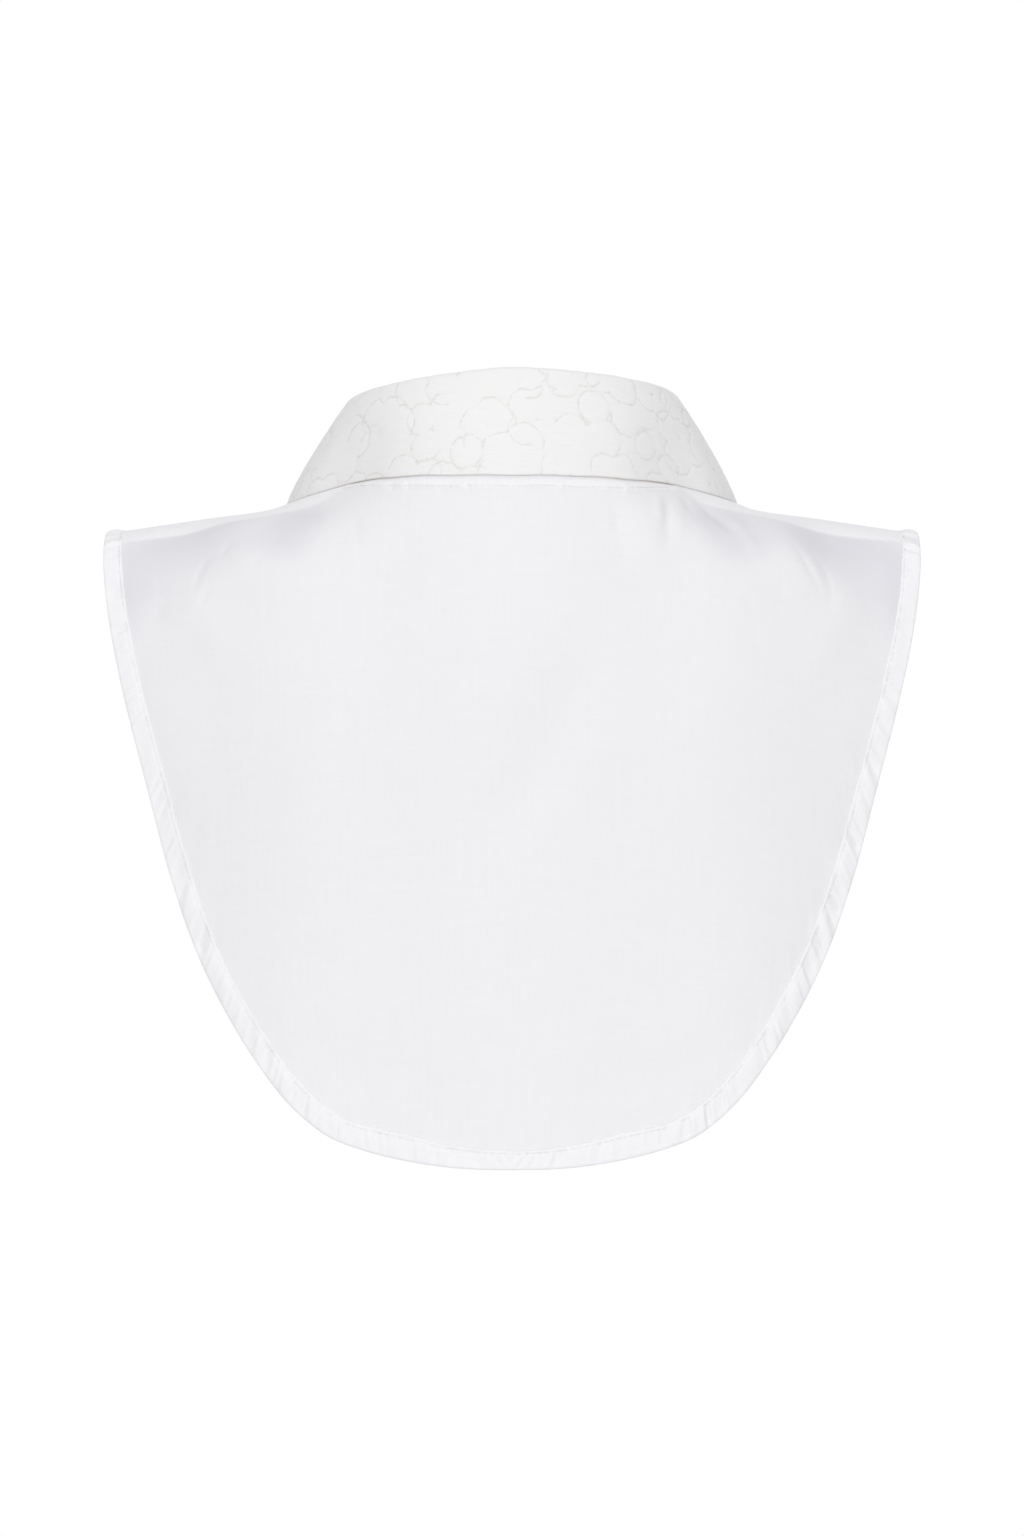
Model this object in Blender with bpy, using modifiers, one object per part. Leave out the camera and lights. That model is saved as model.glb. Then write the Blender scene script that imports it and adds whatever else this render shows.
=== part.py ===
"""Detachable collar: a bib of one back and two buttoned fronts, under a folded collar with its stand.

The wearer faces -Y and stands along +Z. The origin is the centre of the neck opening, level with the side of the neck.
Sizes are in millimetres, and make_mesh turns them into metres.
"""

from collections import namedtuple
from math import cos, pi, radians, sin

import bmesh
import bpy
import numpy as np
from mathutils import Matrix, Vector

MM = 0.001

# Cloth
WALL = 1.2
HEM_RAISED = 0.8
HEM_WIDTH = 8.2
SEAM_GAP = 0.3
COLLAR_WALL = 2.0

# The neck seam and the front opening, in the cut's own sizes
NECK_HALF_WIDTH = 65.0
BACK_NECK_DROP = 72.0
FRONT_NECK_DROP = 110.0
NECK_ROUNDNESS = 2.2
LAP_HALF_WIDTH = 12.5
PLACKET_LIFT = 2.0 * WALL + 3.0 * SEAM_GAP

# The stand
STAND_HALF_WIDTH = 68.5
STAND_BACK_DEPTH = 62.8
STAND_FRONT_DEPTH = 60.0
STAND_TILT = 0.016
STAND_LAP_TURN = 12.0
STAND_LAP_LIFT = 2.4

# The leaf, from where it rolls over the stand
ROLL_RADIUS = 2.2
LEAF_SEAM_GAP = 0.6
LEAF_END_TURN = 177.0

# Buttons
BUTTON_RADIUS = 5.6
BUTTON_HEIGHT = 2.4
BUTTON_RIM = 1.1
BUTTON_DISH = 0.7
BUTTON_HOLE_RADIUS = 0.85
BUTTON_HOLE_OFFSET = 1.45
BUTTON_DROPS = (165.0, 240.0, 315.0)
COLLAR_BUTTON_RISE = 0.5
BUTTON_GAP = 0.45

# How finely the walls are divided
BACK_COLUMNS = 56
FRONT_COLUMNS = 26
BIB_ROWS = 12
COLLAR_COLUMNS = 54
STAND_ROWS = 4
ROLL_ROWS = 5
FALL_ROWS = 6
SECTION_STEPS = 96

# The figure under the bib, cut from the shoulder line down its back and down its front, at places across the body.
# Flat is the length that lies level at the shoulder, roll is where the turn downwards ends, and angle is the slope there.
Section = namedtuple(
    "Section", "across ridge_depth ridge_height back_flat back_roll back_angle front_flat front_roll front_angle"
)
SECTIONS = (
    Section(0, 5, 29, 40, 78, 66, 0, 50, 62),
    Section(35, 5, 20.5, 30, 84, 70, 2, 60, 63),
    Section(65, 5, 5, 15, 95, 76, 5, 75, 66),
    Section(97, 5, -5.3, 12, 95, 78, 5, 75, 70),
    Section(135, 3, -11.1, 8, 75, 80, 4, 65, 74),
    Section(180, 0, -18.0, 4, 55, 81, 3, 50, 78),
)
BACK_HANG_LENGTH = 190.0
BACK_HANG_ANGLE = 91.0
FRONT_HANG_LENGTH = 260.0
FRONT_HANG_ANGLE = 88.0

# The bib's outer edge, from the tip of the shoulder down to the middle of the bottom.
EdgePoint = namedtuple("EdgePoint", "across height")
EDGE = (
    EdgePoint(178.2, -17.8),
    EdgePoint(178.2, -28.0),
    EdgePoint(177.2, -40.0),
    EdgePoint(174.0, -62.0),
    EdgePoint(166.6, -95.0),
    EdgePoint(158.0, -127.0),
    EdgePoint(146.2, -170.0),
    EdgePoint(134.5, -202.0),
    EdgePoint(123.4, -224.0),
    EdgePoint(110.4, -245.0),
    EdgePoint(93.0, -266.6),
    EdgePoint(78.5, -277.8),
    EdgePoint(62.3, -283.9),
    EdgePoint(45.8, -287.8),
    EdgePoint(25.0, -290.7),
    EdgePoint(0.0, -291.5),
)

# The broad folds, each a soft ridge (rise over zero) or trough between two places on the cloth.
# Down is measured over the shoulder line, plus on the back and minus on the front.
Fold = namedtuple("Fold", "across down end_across end_down rise width")
FOLDS = (
    Fold(92, 18, 70, 75, -2.2, 11),
    Fold(133, 22, 106, 72, 2.4, 12),
    Fold(170, 40, 105, 22, -2.6, 13),
    Fold(-70, 10, -96, 74, -2.6, 12),
    Fold(-55, 58, -60, 96, 1.8, 10),
    Fold(-118, 20, -127, 82, 2.4, 12),
    Fold(-170, 40, -105, 22, -2.6, 13),
    Fold(100, -20, 74, -86, -2.2, 12),
    Fold(-104, -20, -80, -92, -2.2, 12),
    Fold(140, -30, 112, -96, 2.0, 13),
    Fold(-136, -26, -118, -90, 2.0, 13),
)

# The stand's height over the neck seam and the leaf's lower edge, by the angle round the neck from the centre back.
# The edge is a place on the bib, lifted off it. Flare is how far the leaf leans out as it leaves the roll and at its edge.
Collar = namedtuple("Collar", "turn stand_height edge_across edge_down edge_lift roll_flare edge_flare")
COLLAR = (
    Collar(0, 35.3, 0, 83.6, 4.2, 20, 6),
    Collar(25, 35.9, 32.5, 73.0, 4.0, 22, 8),
    Collar(50, 36.0, 62, 45.0, 3.5, 30, 12),
    Collar(75, 35.4, 86.5, 18.0, 2.6, 42, 18),
    Collar(100, 35.2, 98.5, -14.0, 2.0, 44, 24),
    Collar(125, 33.5, 93, -62.0, 2.0, 40, 20),
    Collar(150, 29.6, 74, -112.0, 2.4, 30, 16),
    Collar(180, 26.0, 46, -150.0, 2.6, 24, 12),
)

BIB_WHITE = (0.86, 0.87, 0.89)
LEAF_IVORY = (0.87, 0.86, 0.83)
BUTTON_PEARL = (0.88, 0.87, 0.84)


def ease(share):
    """From 0 to 1, level at both ends."""
    share = np.clip(share, 0.0, 1.0)
    return share * share * (3.0 - 2.0 * share)


def smooth_read(stations, values, places):
    """A smooth curve through values given at rising stations."""
    stations = np.asarray(stations, float)
    values = np.asarray(values, float)
    slopes = np.gradient(values, stations)
    places = np.clip(places, stations[0], stations[-1])
    index = np.clip(np.searchsorted(stations, places, side="right") - 1, 0, len(stations) - 2)
    width = stations[index + 1] - stations[index]
    share = (places - stations[index]) / width
    rest = 1.0 - share
    start = rest * rest * ((1.0 + 2.0 * share) * values[index] + share * width * slopes[index])
    end = share * share * ((3.0 - 2.0 * share) * values[index + 1] - rest * width * slopes[index + 1])
    return start + end


def section_size(name, across):
    """One column of SECTIONS, the same on both sides of the centre line."""
    stations = [row.across for row in SECTIONS]
    values = [getattr(row, name) for row in SECTIONS]
    mirrored = [-station for station in stations[:0:-1]]
    return smooth_read(mirrored + stations, values[:0:-1] + values, across)


def collar_size(name, turn):
    """One column of COLLAR; sizes across change sign on the other side."""
    stations = [row.turn for row in COLLAR]
    values = [getattr(row, name) for row in COLLAR]
    other = -1.0 if name == "edge_across" else 1.0
    mirrored = [-station for station in stations[:0:-1]]
    return smooth_read(mirrored + stations, [other * value for value in values[:0:-1]] + values, turn)


def figure(across, down):
    """The place on the figure, across from the centre line and down from the shoulder line (minus on the front)."""
    across, down = np.broadcast_arrays(np.asarray(across, float), np.asarray(down, float))
    on_back = down >= 0.0
    flat = np.where(on_back, section_size("back_flat", across), section_size("front_flat", across))
    roll = np.where(on_back, section_size("back_roll", across), section_size("front_roll", across))
    angle = np.where(on_back, section_size("back_angle", across), section_size("front_angle", across))
    hang_length = np.where(on_back, BACK_HANG_LENGTH, FRONT_HANG_LENGTH)
    hang_angle = np.where(on_back, BACK_HANG_ANGLE, FRONT_HANG_ANGLE)
    length = np.abs(down)
    slope = np.empty(across.shape + (SECTION_STEPS,))
    for step in range(SECTION_STEPS):
        reached = length * (step + 0.5) / SECTION_STEPS
        turned = angle * ease((reached - flat) / (roll - flat))
        slope[..., step] = turned + (hang_angle - angle) * ease((reached - roll) / (hang_length - roll))
    slope = np.radians(slope)
    depth = section_size("ridge_depth", across) + down * np.cos(slope).mean(-1)
    height = section_size("ridge_height", across) - length * np.sin(slope).mean(-1)
    return np.stack([across, depth, height], -1)


def figure_normal(across, down):
    """The direction straight out of the figure."""
    step = 1.0
    sideways = figure(across + step, down) - figure(across - step, down)
    downwards = figure(across, down + step) - figure(across, down - step)
    outwards = np.cross(sideways, downwards)
    return outwards / np.linalg.norm(outwards, axis=-1, keepdims=True)


def fold_rise(across, down):
    """How far the folds lift the cloth."""
    rise = np.zeros_like(across)
    for fold in FOLDS:
        run = np.array([fold.end_across - fold.across, fold.end_down - fold.down])
        length = np.hypot(*run)
        along = ((across - fold.across) * run[0] + (down - fold.down) * run[1]) / length
        beside = ((across - fold.across) * run[1] - (down - fold.down) * run[0]) / length
        middle = (along / length - 0.5) / 0.75
        rise += fold.rise * np.exp(-((beside / fold.width) ** 2)) * ease(1.0 - np.abs(middle))
    return rise


def cloth(across, down, lift=0.0):
    """A place on the bib's inner face, moved out by lift."""
    lifted = np.asarray(fold_rise(across, down) + lift)
    return figure(across, down) + lifted[..., None] * figure_normal(across, down)


def down_at(across, height, side):
    """The length down from the shoulder line at which the figure reaches a height."""
    near = np.zeros_like(across)
    far = np.full_like(across, 500.0)
    for _ in range(40):
        middle = (near + far) / 2.0
        above = figure(across, side * middle)[..., 2] > height
        near = np.where(above, middle, near)
        far = np.where(above, far, middle)
    return side * (near + far) / 2.0


def neck_curve(turn, side):
    """The neck seam as cut: a rounded curve between the two sides of the neck."""
    power = 2.0 / NECK_ROUNDNESS
    drop = BACK_NECK_DROP if side > 0 else FRONT_NECK_DROP
    across = NECK_HALF_WIDTH * np.sign(np.sin(turn)) * np.abs(np.sin(turn)) ** power
    down = side * drop * np.abs(np.cos(turn)) ** power
    return np.stack([across, down], -1)


def neck_down(across, side):
    """The neck seam's length down at a place across."""
    drop = BACK_NECK_DROP if side > 0 else FRONT_NECK_DROP
    share = np.clip(np.abs(across) / NECK_HALF_WIDTH, 0.0, 1.0)
    return side * drop * (1.0 - share**NECK_ROUNDNESS) ** (1.0 / NECK_ROUNDNESS)


def edge_curve(side, count=600):
    """The bib's whole outer edge as cut, from one shoulder tip round to the other, at even steps."""
    whole = np.array([(-p.across, p.height) for p in EDGE[:-1]] + [tuple(p) for p in EDGE[::-1]])
    chord = np.hypot(*np.diff(whole, axis=0).T)
    run = np.concatenate([[0.0], np.cumsum(chord)])
    places = np.linspace(0.0, run[-1], count)
    across = smooth_read(run, whole[:, 0], places)
    height = smooth_read(run, whole[:, 1], places)
    down = down_at(across, height, side)
    down[[0, -1]] = 0.0
    return np.stack([across, down], -1)


def even_steps(curve, count):
    """The same curve with its points evenly apart."""
    run = np.concatenate([[0.0], np.cumsum(np.hypot(*np.diff(curve, axis=0).T))])
    places = np.linspace(0.0, run[-1], count)
    return np.stack([np.interp(places, run, curve[:, 0]), np.interp(places, run, curve[:, 1])], -1)


def inside_line(curve, width):
    """A line at an even distance inside the outer edge, its ends kept on the lines that end the edge."""
    tangent = np.gradient(curve, axis=0)
    tangent /= np.hypot(tangent[:, 0], tangent[:, 1])[:, None]
    inward = np.stack([-tangent[:, 1], tangent[:, 0]], -1)
    if (inward[0, 0] > 0) != (curve[0, 0] < curve[-1, 0]):
        inward = -inward
    return curve + width * inward


def bib_grid(neck, edge, rows):
    """Rows of places on the cut from the neck to the hem, and two more rows over the hem."""
    hem = inside_line(edge, HEM_WIDTH)
    hem_top = inside_line(edge, HEM_WIDTH - 1.2)
    grid = [neck + (hem - neck) * row / rows for row in range(rows + 1)]
    return np.array(grid + [hem_top, (hem_top + edge) / 2.0, edge])


def make_mesh(name, points, collection):
    """An object from a grid of points, wound so that its faces look along the grid's own outward side."""
    rows, columns = points.shape[:2]
    faces = []
    for row in range(rows - 1):
        for column in range(columns - 1):
            corner = row * columns + column
            faces.append((corner, corner + 1, corner + columns + 1, corner + columns))
    mesh = bpy.data.meshes.new(name)
    mesh.from_pydata((points.reshape(-1, 3) * MM).tolist(), [], faces)
    made = bpy.data.objects.new(name, mesh)
    collection.objects.link(made)
    mesh.shade_smooth()
    return made


def make_wall(made, thickness, offset, thin_points=(), thin_share=1.0):
    """Gives the cloth its thickness; the thin points get only a share of it."""
    group = made.vertex_groups.new(name="thickness")
    group.add(range(len(made.data.vertices)), 1.0, "REPLACE")
    if len(thin_points):
        group.add([int(point) for point in thin_points], thin_share, "REPLACE")
    wall = made.modifiers.new("Wall", "SOLIDIFY")
    wall.thickness = thickness * MM
    wall.offset = offset
    wall.use_even_offset = True
    wall.vertex_group = group.name
    wall.thickness_vertex_group = 0.0


def new_material(name, colour, roughness):
    material = bpy.data.materials.new(name)
    material.use_nodes = True
    shader = material.node_tree.nodes["Principled BSDF"]
    shader.inputs["Base Color"].default_value = (*colour, 1.0)
    shader.inputs["Roughness"].default_value = roughness
    shader.inputs["Metallic"].default_value = 0.0
    return material


def add_bib_panel(name, neck, edge, lift, collection):
    """One panel of the bib with its hem turned over its outer edge."""
    cut = bib_grid(neck, edge, BIB_ROWS)
    points = cloth(cut[..., 0], cut[..., 1], lift(cut[..., 0], cut[..., 1]))
    panel = make_mesh(name, points, collection)
    thin_points = range((BIB_ROWS + 1) * cut.shape[1])
    make_wall(panel, WALL + HEM_RAISED, 1.0, thin_points, WALL / (WALL + HEM_RAISED))
    panel.data.materials.append(new_material(name, BIB_WHITE, 0.85))
    return panel


def add_back_panel(collection):
    turns = np.linspace(-pi / 2, pi / 2, BACK_COLUMNS + 1)
    neck = neck_curve(turns, 1)
    edge = even_steps(edge_curve(1), BACK_COLUMNS + 1)
    shift_from_shoulder(neck, edge, 1)
    add_bib_panel("back_panel", neck, edge, lambda across, down: 0.0 * across, collection)


def shift_from_shoulder(neck, edge, side):
    """Keeps a panel half a seam gap off the shoulder line."""
    for curve in (neck, edge):
        near = np.abs(curve[:, 1]) < SEAM_GAP / 2.0
        curve[near, 1] = side * SEAM_GAP / 2.0


def front_outline(side_sign):
    """Neck and outer edge of one front, from its shoulder to its edge past the centre line."""
    last = -side_sign * LAP_HALF_WIDTH
    turns = np.linspace(pi / 2, 0.0, 400)
    neck = neck_curve(turns, -1)
    beyond = np.linspace(0.0, LAP_HALF_WIDTH, 20)[1:]
    extra = np.stack([-beyond, neck_down(beyond, -1)], -1)
    neck = np.concatenate([neck, extra])
    neck[:, 0] *= side_sign
    edge = edge_curve(-1, 1200)
    if side_sign > 0:
        edge = edge[::-1]
    edge = edge[edge[:, 0] * side_sign > last * side_sign]
    ending = np.array([[last, np.interp(last * side_sign, edge[::-1, 0] * side_sign, edge[::-1, 1])]])
    edge = np.concatenate([edge, ending])
    return even_steps(neck, FRONT_COLUMNS + 1), even_steps(edge, FRONT_COLUMNS + 1)


def lap_lift(across, down):
    """The wearer's right front rises over the left one, and over its hem, where they lap."""
    return (WALL + SEAM_GAP + hem_step(across, down)) * ease((across + LAP_HALF_WIDTH + 38.0) / 20.0)


def add_fronts(collection):
    neck, edge = front_outline(1)
    shift_from_shoulder(neck, edge, -1)
    add_bib_panel("front_left", neck, edge, lambda across, down: 0.0 * across, collection)
    neck, edge = front_outline(-1)
    shift_from_shoulder(neck, edge, -1)
    add_bib_panel("front_right", neck[::-1], edge[::-1], lap_lift, collection)


def add_placket(collection):
    """The strip sewn down the edge of the wearer's right front, over the lap."""
    rows = 36
    columns = 4
    across = np.linspace(-LAP_HALF_WIDTH, LAP_HALF_WIDTH, columns + 1)
    top = neck_down(across, -1) - SEAM_GAP
    bottom = front_bottom(across)
    share = np.linspace(0.0, 1.0, rows + 1)[:, None]
    down = top + (bottom - top) * share
    across = np.broadcast_to(across, down.shape)
    lift = PLACKET_LIFT + 2.0 * hem_step(across, down)
    points = cloth(across, down, lift)
    placket = make_mesh("front_placket", points[:, ::-1], collection)
    make_wall(placket, WALL, 1.0)
    placket.data.materials.append(new_material("front_placket", BIB_WHITE, 0.85))


def front_bottom(across):
    """The length down the front at which its bottom edge lies, near the centre line."""
    edge = edge_curve(-1, 1200)
    edge = edge[np.argsort(edge[:, 0])]
    return np.interp(across, edge[:, 0], edge[:, 1])


def hem_step(across, down):
    """What lies on a front climbs its raised hem."""
    over_hem = np.abs(down) - np.abs(front_bottom(across)) + HEM_WIDTH + 18.0
    return (HEM_RAISED + SEAM_GAP) * ease(over_hem / 16.0)


def neck_place(turn):
    """The neck seam on the figure at an angle round the neck."""
    side = 1 if cos(turn) >= 0 else -1
    power = 2.0 / NECK_ROUNDNESS
    drop = BACK_NECK_DROP if side > 0 else FRONT_NECK_DROP
    across = NECK_HALF_WIDTH * np.sign(sin(turn)) * abs(sin(turn)) ** power
    down = side * drop * abs(cos(turn)) ** power
    return figure(np.array(across), np.array(down))


def ring_frame(turn):
    """The neck seam, the stand's top and the level direction out from the neck, at an angle from the centre back."""
    angle = radians(turn)
    bottom = neck_place(angle)
    power = 2.0 / NECK_ROUNDNESS
    depth = STAND_BACK_DEPTH if cos(angle) >= 0 else STAND_FRONT_DEPTH
    across = STAND_HALF_WIDTH * np.sign(sin(angle)) * abs(sin(angle)) ** power
    outwards = Vector((sin(angle) / STAND_HALF_WIDTH, cos(angle) / depth, 0.0)).normalized()
    wrapped = (turn + 180.0) % 360.0 - 180.0
    height = bottom[2] + float(collar_size("stand_height", wrapped)) - STAND_TILT * across
    top = Vector((across, depth * np.sign(cos(angle)) * abs(cos(angle)) ** power, height))
    under = outwards * (-STAND_LAP_LIFT * float(ease((turn - 145.0) / 20.0)))
    inside = outwards * (COLLAR_WALL / 2.0 + 2.0 * SEAM_GAP)
    return Vector(bottom) - inside + under, top + under, outwards


def stand_point(turn, rise):
    bottom, top, outwards = ring_frame(turn)
    return bottom.lerp(top, rise) - outwards * 0.8 * sin(pi * rise)


def add_stand(collection):
    end = 180.0 + STAND_LAP_TURN
    turns = np.linspace(-end, end, COLLAR_COLUMNS + 5)
    points = np.array([[stand_point(turn, row / STAND_ROWS) for turn in turns] for row in range(STAND_ROWS, -1, -1)])
    stand = make_mesh("collar_stand", points, collection)
    make_wall(stand, COLLAR_WALL, 0.0)
    stand.data.materials.append(new_material("collar_stand", LEAF_IVORY, 0.8))


def leaf_section(turn):
    """The leaf's middle line: up from the stand, over the roll and down to its edge."""
    _, top, outwards = ring_frame(turn)
    along = (ring_frame(turn + 1.0)[1] - ring_frame(turn - 1.0)[1]).normalized()
    up = top - stand_point(turn, 0.9)
    up = (up - along * up.dot(along)).normalized()
    outwards = along.cross(up) * (1.0 if along.cross(up).dot(outwards) > 0 else -1.0)
    wrapped = max(-180.0, min(180.0, turn * 180.0 / LEAF_END_TURN))
    across, down, lift, roll_flare, edge_flare = (
        float(collar_size(name, wrapped))
        for name in ("edge_across", "edge_down", "edge_lift", "roll_flare", "edge_flare")
    )
    seam = top + up * LEAF_SEAM_GAP
    centre = seam + outwards * ROLL_RADIUS
    edge = Vector(cloth(np.array(across), np.array(down), lift + COLLAR_WALL / 2.0))
    last = pi - radians(roll_flare)
    section = []
    for row in range(ROLL_ROWS + 1):
        angle = last * row / ROLL_ROWS
        section.append(centre - outwards * ROLL_RADIUS * cos(angle) + up * ROLL_RADIUS * sin(angle))
    start = section[-1]
    fall = edge - start
    level = Vector((fall.x, fall.y, 0.0)).normalized()
    reach = fall.length / 3.0
    leaving = outwards * sin(radians(roll_flare)) - up * cos(radians(roll_flare))
    arriving = level * sin(radians(edge_flare)) - up * cos(radians(edge_flare))
    for row in range(1, FALL_ROWS + 1):
        share = row / FALL_ROWS
        rest = 1.0 - share
        near = start * rest**3 + (start + leaving * reach) * 3.0 * rest * rest * share
        section.append(near + (edge - arriving * reach) * 3.0 * rest * share * share + edge * share**3)
    return section


def add_leaf(collection):
    turns = np.linspace(-LEAF_END_TURN, LEAF_END_TURN, COLLAR_COLUMNS + 1)
    points = np.array([leaf_section(turn) for turn in turns]).transpose(1, 0, 2)
    leaf = make_mesh("collar_leaf", points, collection)
    make_wall(leaf, COLLAR_WALL, 0.0)
    leaf.data.materials.append(new_material("collar_leaf", LEAF_IVORY, 0.8))


def add_button(name, place, outwards, collection):
    """A flat dished button with four holes, its back just off the cloth."""
    shape = bmesh.new()
    profile = (
        (0.0, 0.0),
        (BUTTON_RADIUS - 0.5, 0.0),
        (BUTTON_RADIUS, BUTTON_HEIGHT / 2.0),
        (BUTTON_RADIUS - 0.5, BUTTON_HEIGHT),
        (BUTTON_RADIUS - BUTTON_RIM, BUTTON_HEIGHT),
        (BUTTON_RADIUS - BUTTON_RIM - 0.6, BUTTON_HEIGHT - BUTTON_DISH),
        (0.0, BUTTON_HEIGHT - BUTTON_DISH),
    )
    points = [shape.verts.new((radius * MM, 0.0, height * MM)) for radius, height in profile]
    edges = [shape.edges.new(pair) for pair in zip(points, points[1:])]
    bmesh.ops.spin(
        shape, geom=points + edges, cent=(0, 0, 0), axis=(0, 0, 1), angle=2 * pi, steps=18, use_merge=True
    )
    bmesh.ops.remove_doubles(shape, verts=shape.verts, dist=1e-6)
    bmesh.ops.recalc_face_normals(shape, faces=shape.faces)
    mesh = bpy.data.meshes.new(name)
    shape.to_mesh(mesh)
    shape.free()
    button = bpy.data.objects.new(name, mesh)
    collection.objects.link(button)
    button.matrix_world = Matrix.Translation(place * MM) @ outwards.to_track_quat("Z", "Y").to_matrix().to_4x4()
    button.data.materials.append(new_material(name, BUTTON_PEARL, 0.3))
    holes = button.modifiers.new("Holes", "BOOLEAN")
    holes.object = add_hole_cutter(name, button)
    return button


def add_hole_cutter(name, button):
    """Four thread holes through a button."""
    shape = bmesh.new()
    for turn in range(4):
        angle = pi / 4 + turn * pi / 2
        middle = Matrix.Translation((cos(angle) * BUTTON_HOLE_OFFSET * MM, sin(angle) * BUTTON_HOLE_OFFSET * MM, 0.0))
        bmesh.ops.create_cone(
            shape,
            cap_ends=True,
            segments=6,
            radius1=BUTTON_HOLE_RADIUS * MM,
            radius2=BUTTON_HOLE_RADIUS * MM,
            depth=4.0 * BUTTON_HEIGHT * MM,
            matrix=middle,
        )
    mesh = bpy.data.meshes.new(name + "_holes")
    shape.to_mesh(mesh)
    shape.free()
    cutter = bpy.data.objects.new(name + "_holes", mesh)
    bpy.data.collections["cutters"].objects.link(cutter)
    cutter.matrix_world = button.matrix_world
    cutter.hide_render = True
    cutter.display_type = "WIRE"
    return cutter


def add_buttons(collection):
    """One on the stand's lap and the rest down the placket."""
    bottom, top, outwards = ring_frame(-180.0)
    place = stand_point(-180.0, COLLAR_BUTTON_RISE) + outwards * (COLLAR_WALL / 2.0 + BUTTON_GAP)
    facing = (top - bottom).cross(Vector((-1.0, 0.0, 0.0))).normalized()
    if facing.dot(outwards) < 0:
        facing = -facing
    add_button("button_collar", place, facing, collection)
    for number, drop in enumerate(BUTTON_DROPS, 1):
        lift = PLACKET_LIFT + WALL + BUTTON_GAP
        place = Vector(cloth(np.array(0.0), np.array(-drop), lift))
        facing = Vector(figure_normal(np.array(0.0), np.array(-drop)))
        add_button(f"button_{number}", place, facing, collection)


def clear_scene():
    for item in list(bpy.data.objects):
        bpy.data.objects.remove(item)


def new_collection(name):
    collection = bpy.data.collections.new(name)
    bpy.context.scene.collection.children.link(collection)
    return collection


def build():
    clear_scene()
    collection = new_collection("detachable_collar")
    new_collection("cutters")
    add_back_panel(collection)
    add_fronts(collection)
    add_placket(collection)
    add_stand(collection)
    add_leaf(collection)
    add_buttons(collection)


build()
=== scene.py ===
"""Detachable collar from its back: cotton bib, hems, stitching and a patterned collar over the frame."""
from collections import namedtuple
from math import cos, pi, radians, sin

import bpy
import numpy as np
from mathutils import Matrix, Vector


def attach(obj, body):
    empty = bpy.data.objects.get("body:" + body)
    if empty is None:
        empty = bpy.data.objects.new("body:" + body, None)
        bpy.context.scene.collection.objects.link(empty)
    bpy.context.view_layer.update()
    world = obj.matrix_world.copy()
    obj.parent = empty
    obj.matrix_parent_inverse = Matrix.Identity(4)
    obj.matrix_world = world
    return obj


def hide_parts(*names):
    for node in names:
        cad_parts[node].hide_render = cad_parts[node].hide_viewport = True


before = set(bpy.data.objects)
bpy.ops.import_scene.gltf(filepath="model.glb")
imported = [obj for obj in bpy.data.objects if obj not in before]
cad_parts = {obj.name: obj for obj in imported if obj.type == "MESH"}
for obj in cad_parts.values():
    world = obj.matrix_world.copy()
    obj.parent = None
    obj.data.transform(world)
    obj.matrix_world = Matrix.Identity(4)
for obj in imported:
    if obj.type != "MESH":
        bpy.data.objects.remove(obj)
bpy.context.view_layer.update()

MM = 0.001
SEED = 7

# The camera, in metres, at the height of the bib's middle
CAMERA_PLACE = (0.0, 3.2, -0.1193)
VIEW_WIDTH = 0.4403
VIEW_DEPTH = 3.12
SENSOR = 36.0
FLOOR_HEIGHT = -1.27

# Sizes that the solids share, in millimetres
WALL = 1.2
HEM_WIDTH = 8.2
HEM_RAISED = 0.8
SEAM_GAP = 0.3
COLLAR_WALL = 2.0
NECK_HALF_WIDTH = 65.0
BACK_NECK_DROP = 72.0
FRONT_NECK_DROP = 110.0
NECK_ROUNDNESS = 2.2
LAP_HALF_WIDTH = 12.5
PLACKET_LIFT = 2.0 * WALL + 3.0 * SEAM_GAP
STAND_HALF_WIDTH = 68.5
STAND_BACK_DEPTH = 62.8
STAND_FRONT_DEPTH = 60.0
STAND_TILT = 0.02
STAND_HOLLOW = 0.8
STAND_CUT_HEIGHT = 36.0
STAND_LAP_TURN = 12.0
STAND_LAP_LIFT = 2.4
ROLL_RADIUS = 2.2
LEAF_SEAM_GAP = 0.6
LEAF_END_TURN = 177.0
BUTTON_DROPS = (165.0, 240.0, 315.0)
BUTTON_HEIGHT = 2.4
BUTTON_DISH = 0.7
BUTTON_HOLE_OFFSET = 1.45
BUTTON_GAP = 0.45
COLLAR_BUTTON_RISE = 0.5
SECTION_STEPS = 96
SECTION_SHIFTS = (-20.0, -10.0, 0.0, 10.0, 20.0)
EDGE_POINTS = 1200

Section = namedtuple(
    "Section",
    "across ridge_depth ridge_height back_flat back_roll back_angle front_flat front_roll front_angle",
)
SECTIONS = [Section(*row) for row in (
    (0, 5, 29, 40, 78, 66, 0, 50, 62), (35, 5, 20.5, 30, 84, 70, 2, 60, 63),
    (65, 5, 5, 15, 95, 76, 5, 75, 66), (97, 5, -5.3, 12, 95, 78, 5, 75, 70),
    (135, 3, -11.1, 8, 75, 80, 4, 65, 74), (180, 0, -18.0, 4, 55, 81, 3, 50, 78),
)]
BACK_HANG_LENGTH = 190.0
BACK_HANG_ANGLE = 91.0
FRONT_HANG_LENGTH = 260.0
FRONT_HANG_ANGLE = 88.0

EDGE = (
    (178.2, -17.8), (178.2, -28.0), (177.2, -40.0), (174.0, -62.0), (166.6, -95.0), (158.0, -127.0),
    (146.2, -170.0), (134.5, -202.0), (123.4, -224.0), (110.4, -245.0), (93.0, -266.6), (78.5, -277.8),
    (62.3, -283.9), (45.8, -287.8), (25.0, -290.7), (0.0, -291.5),
)

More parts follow.
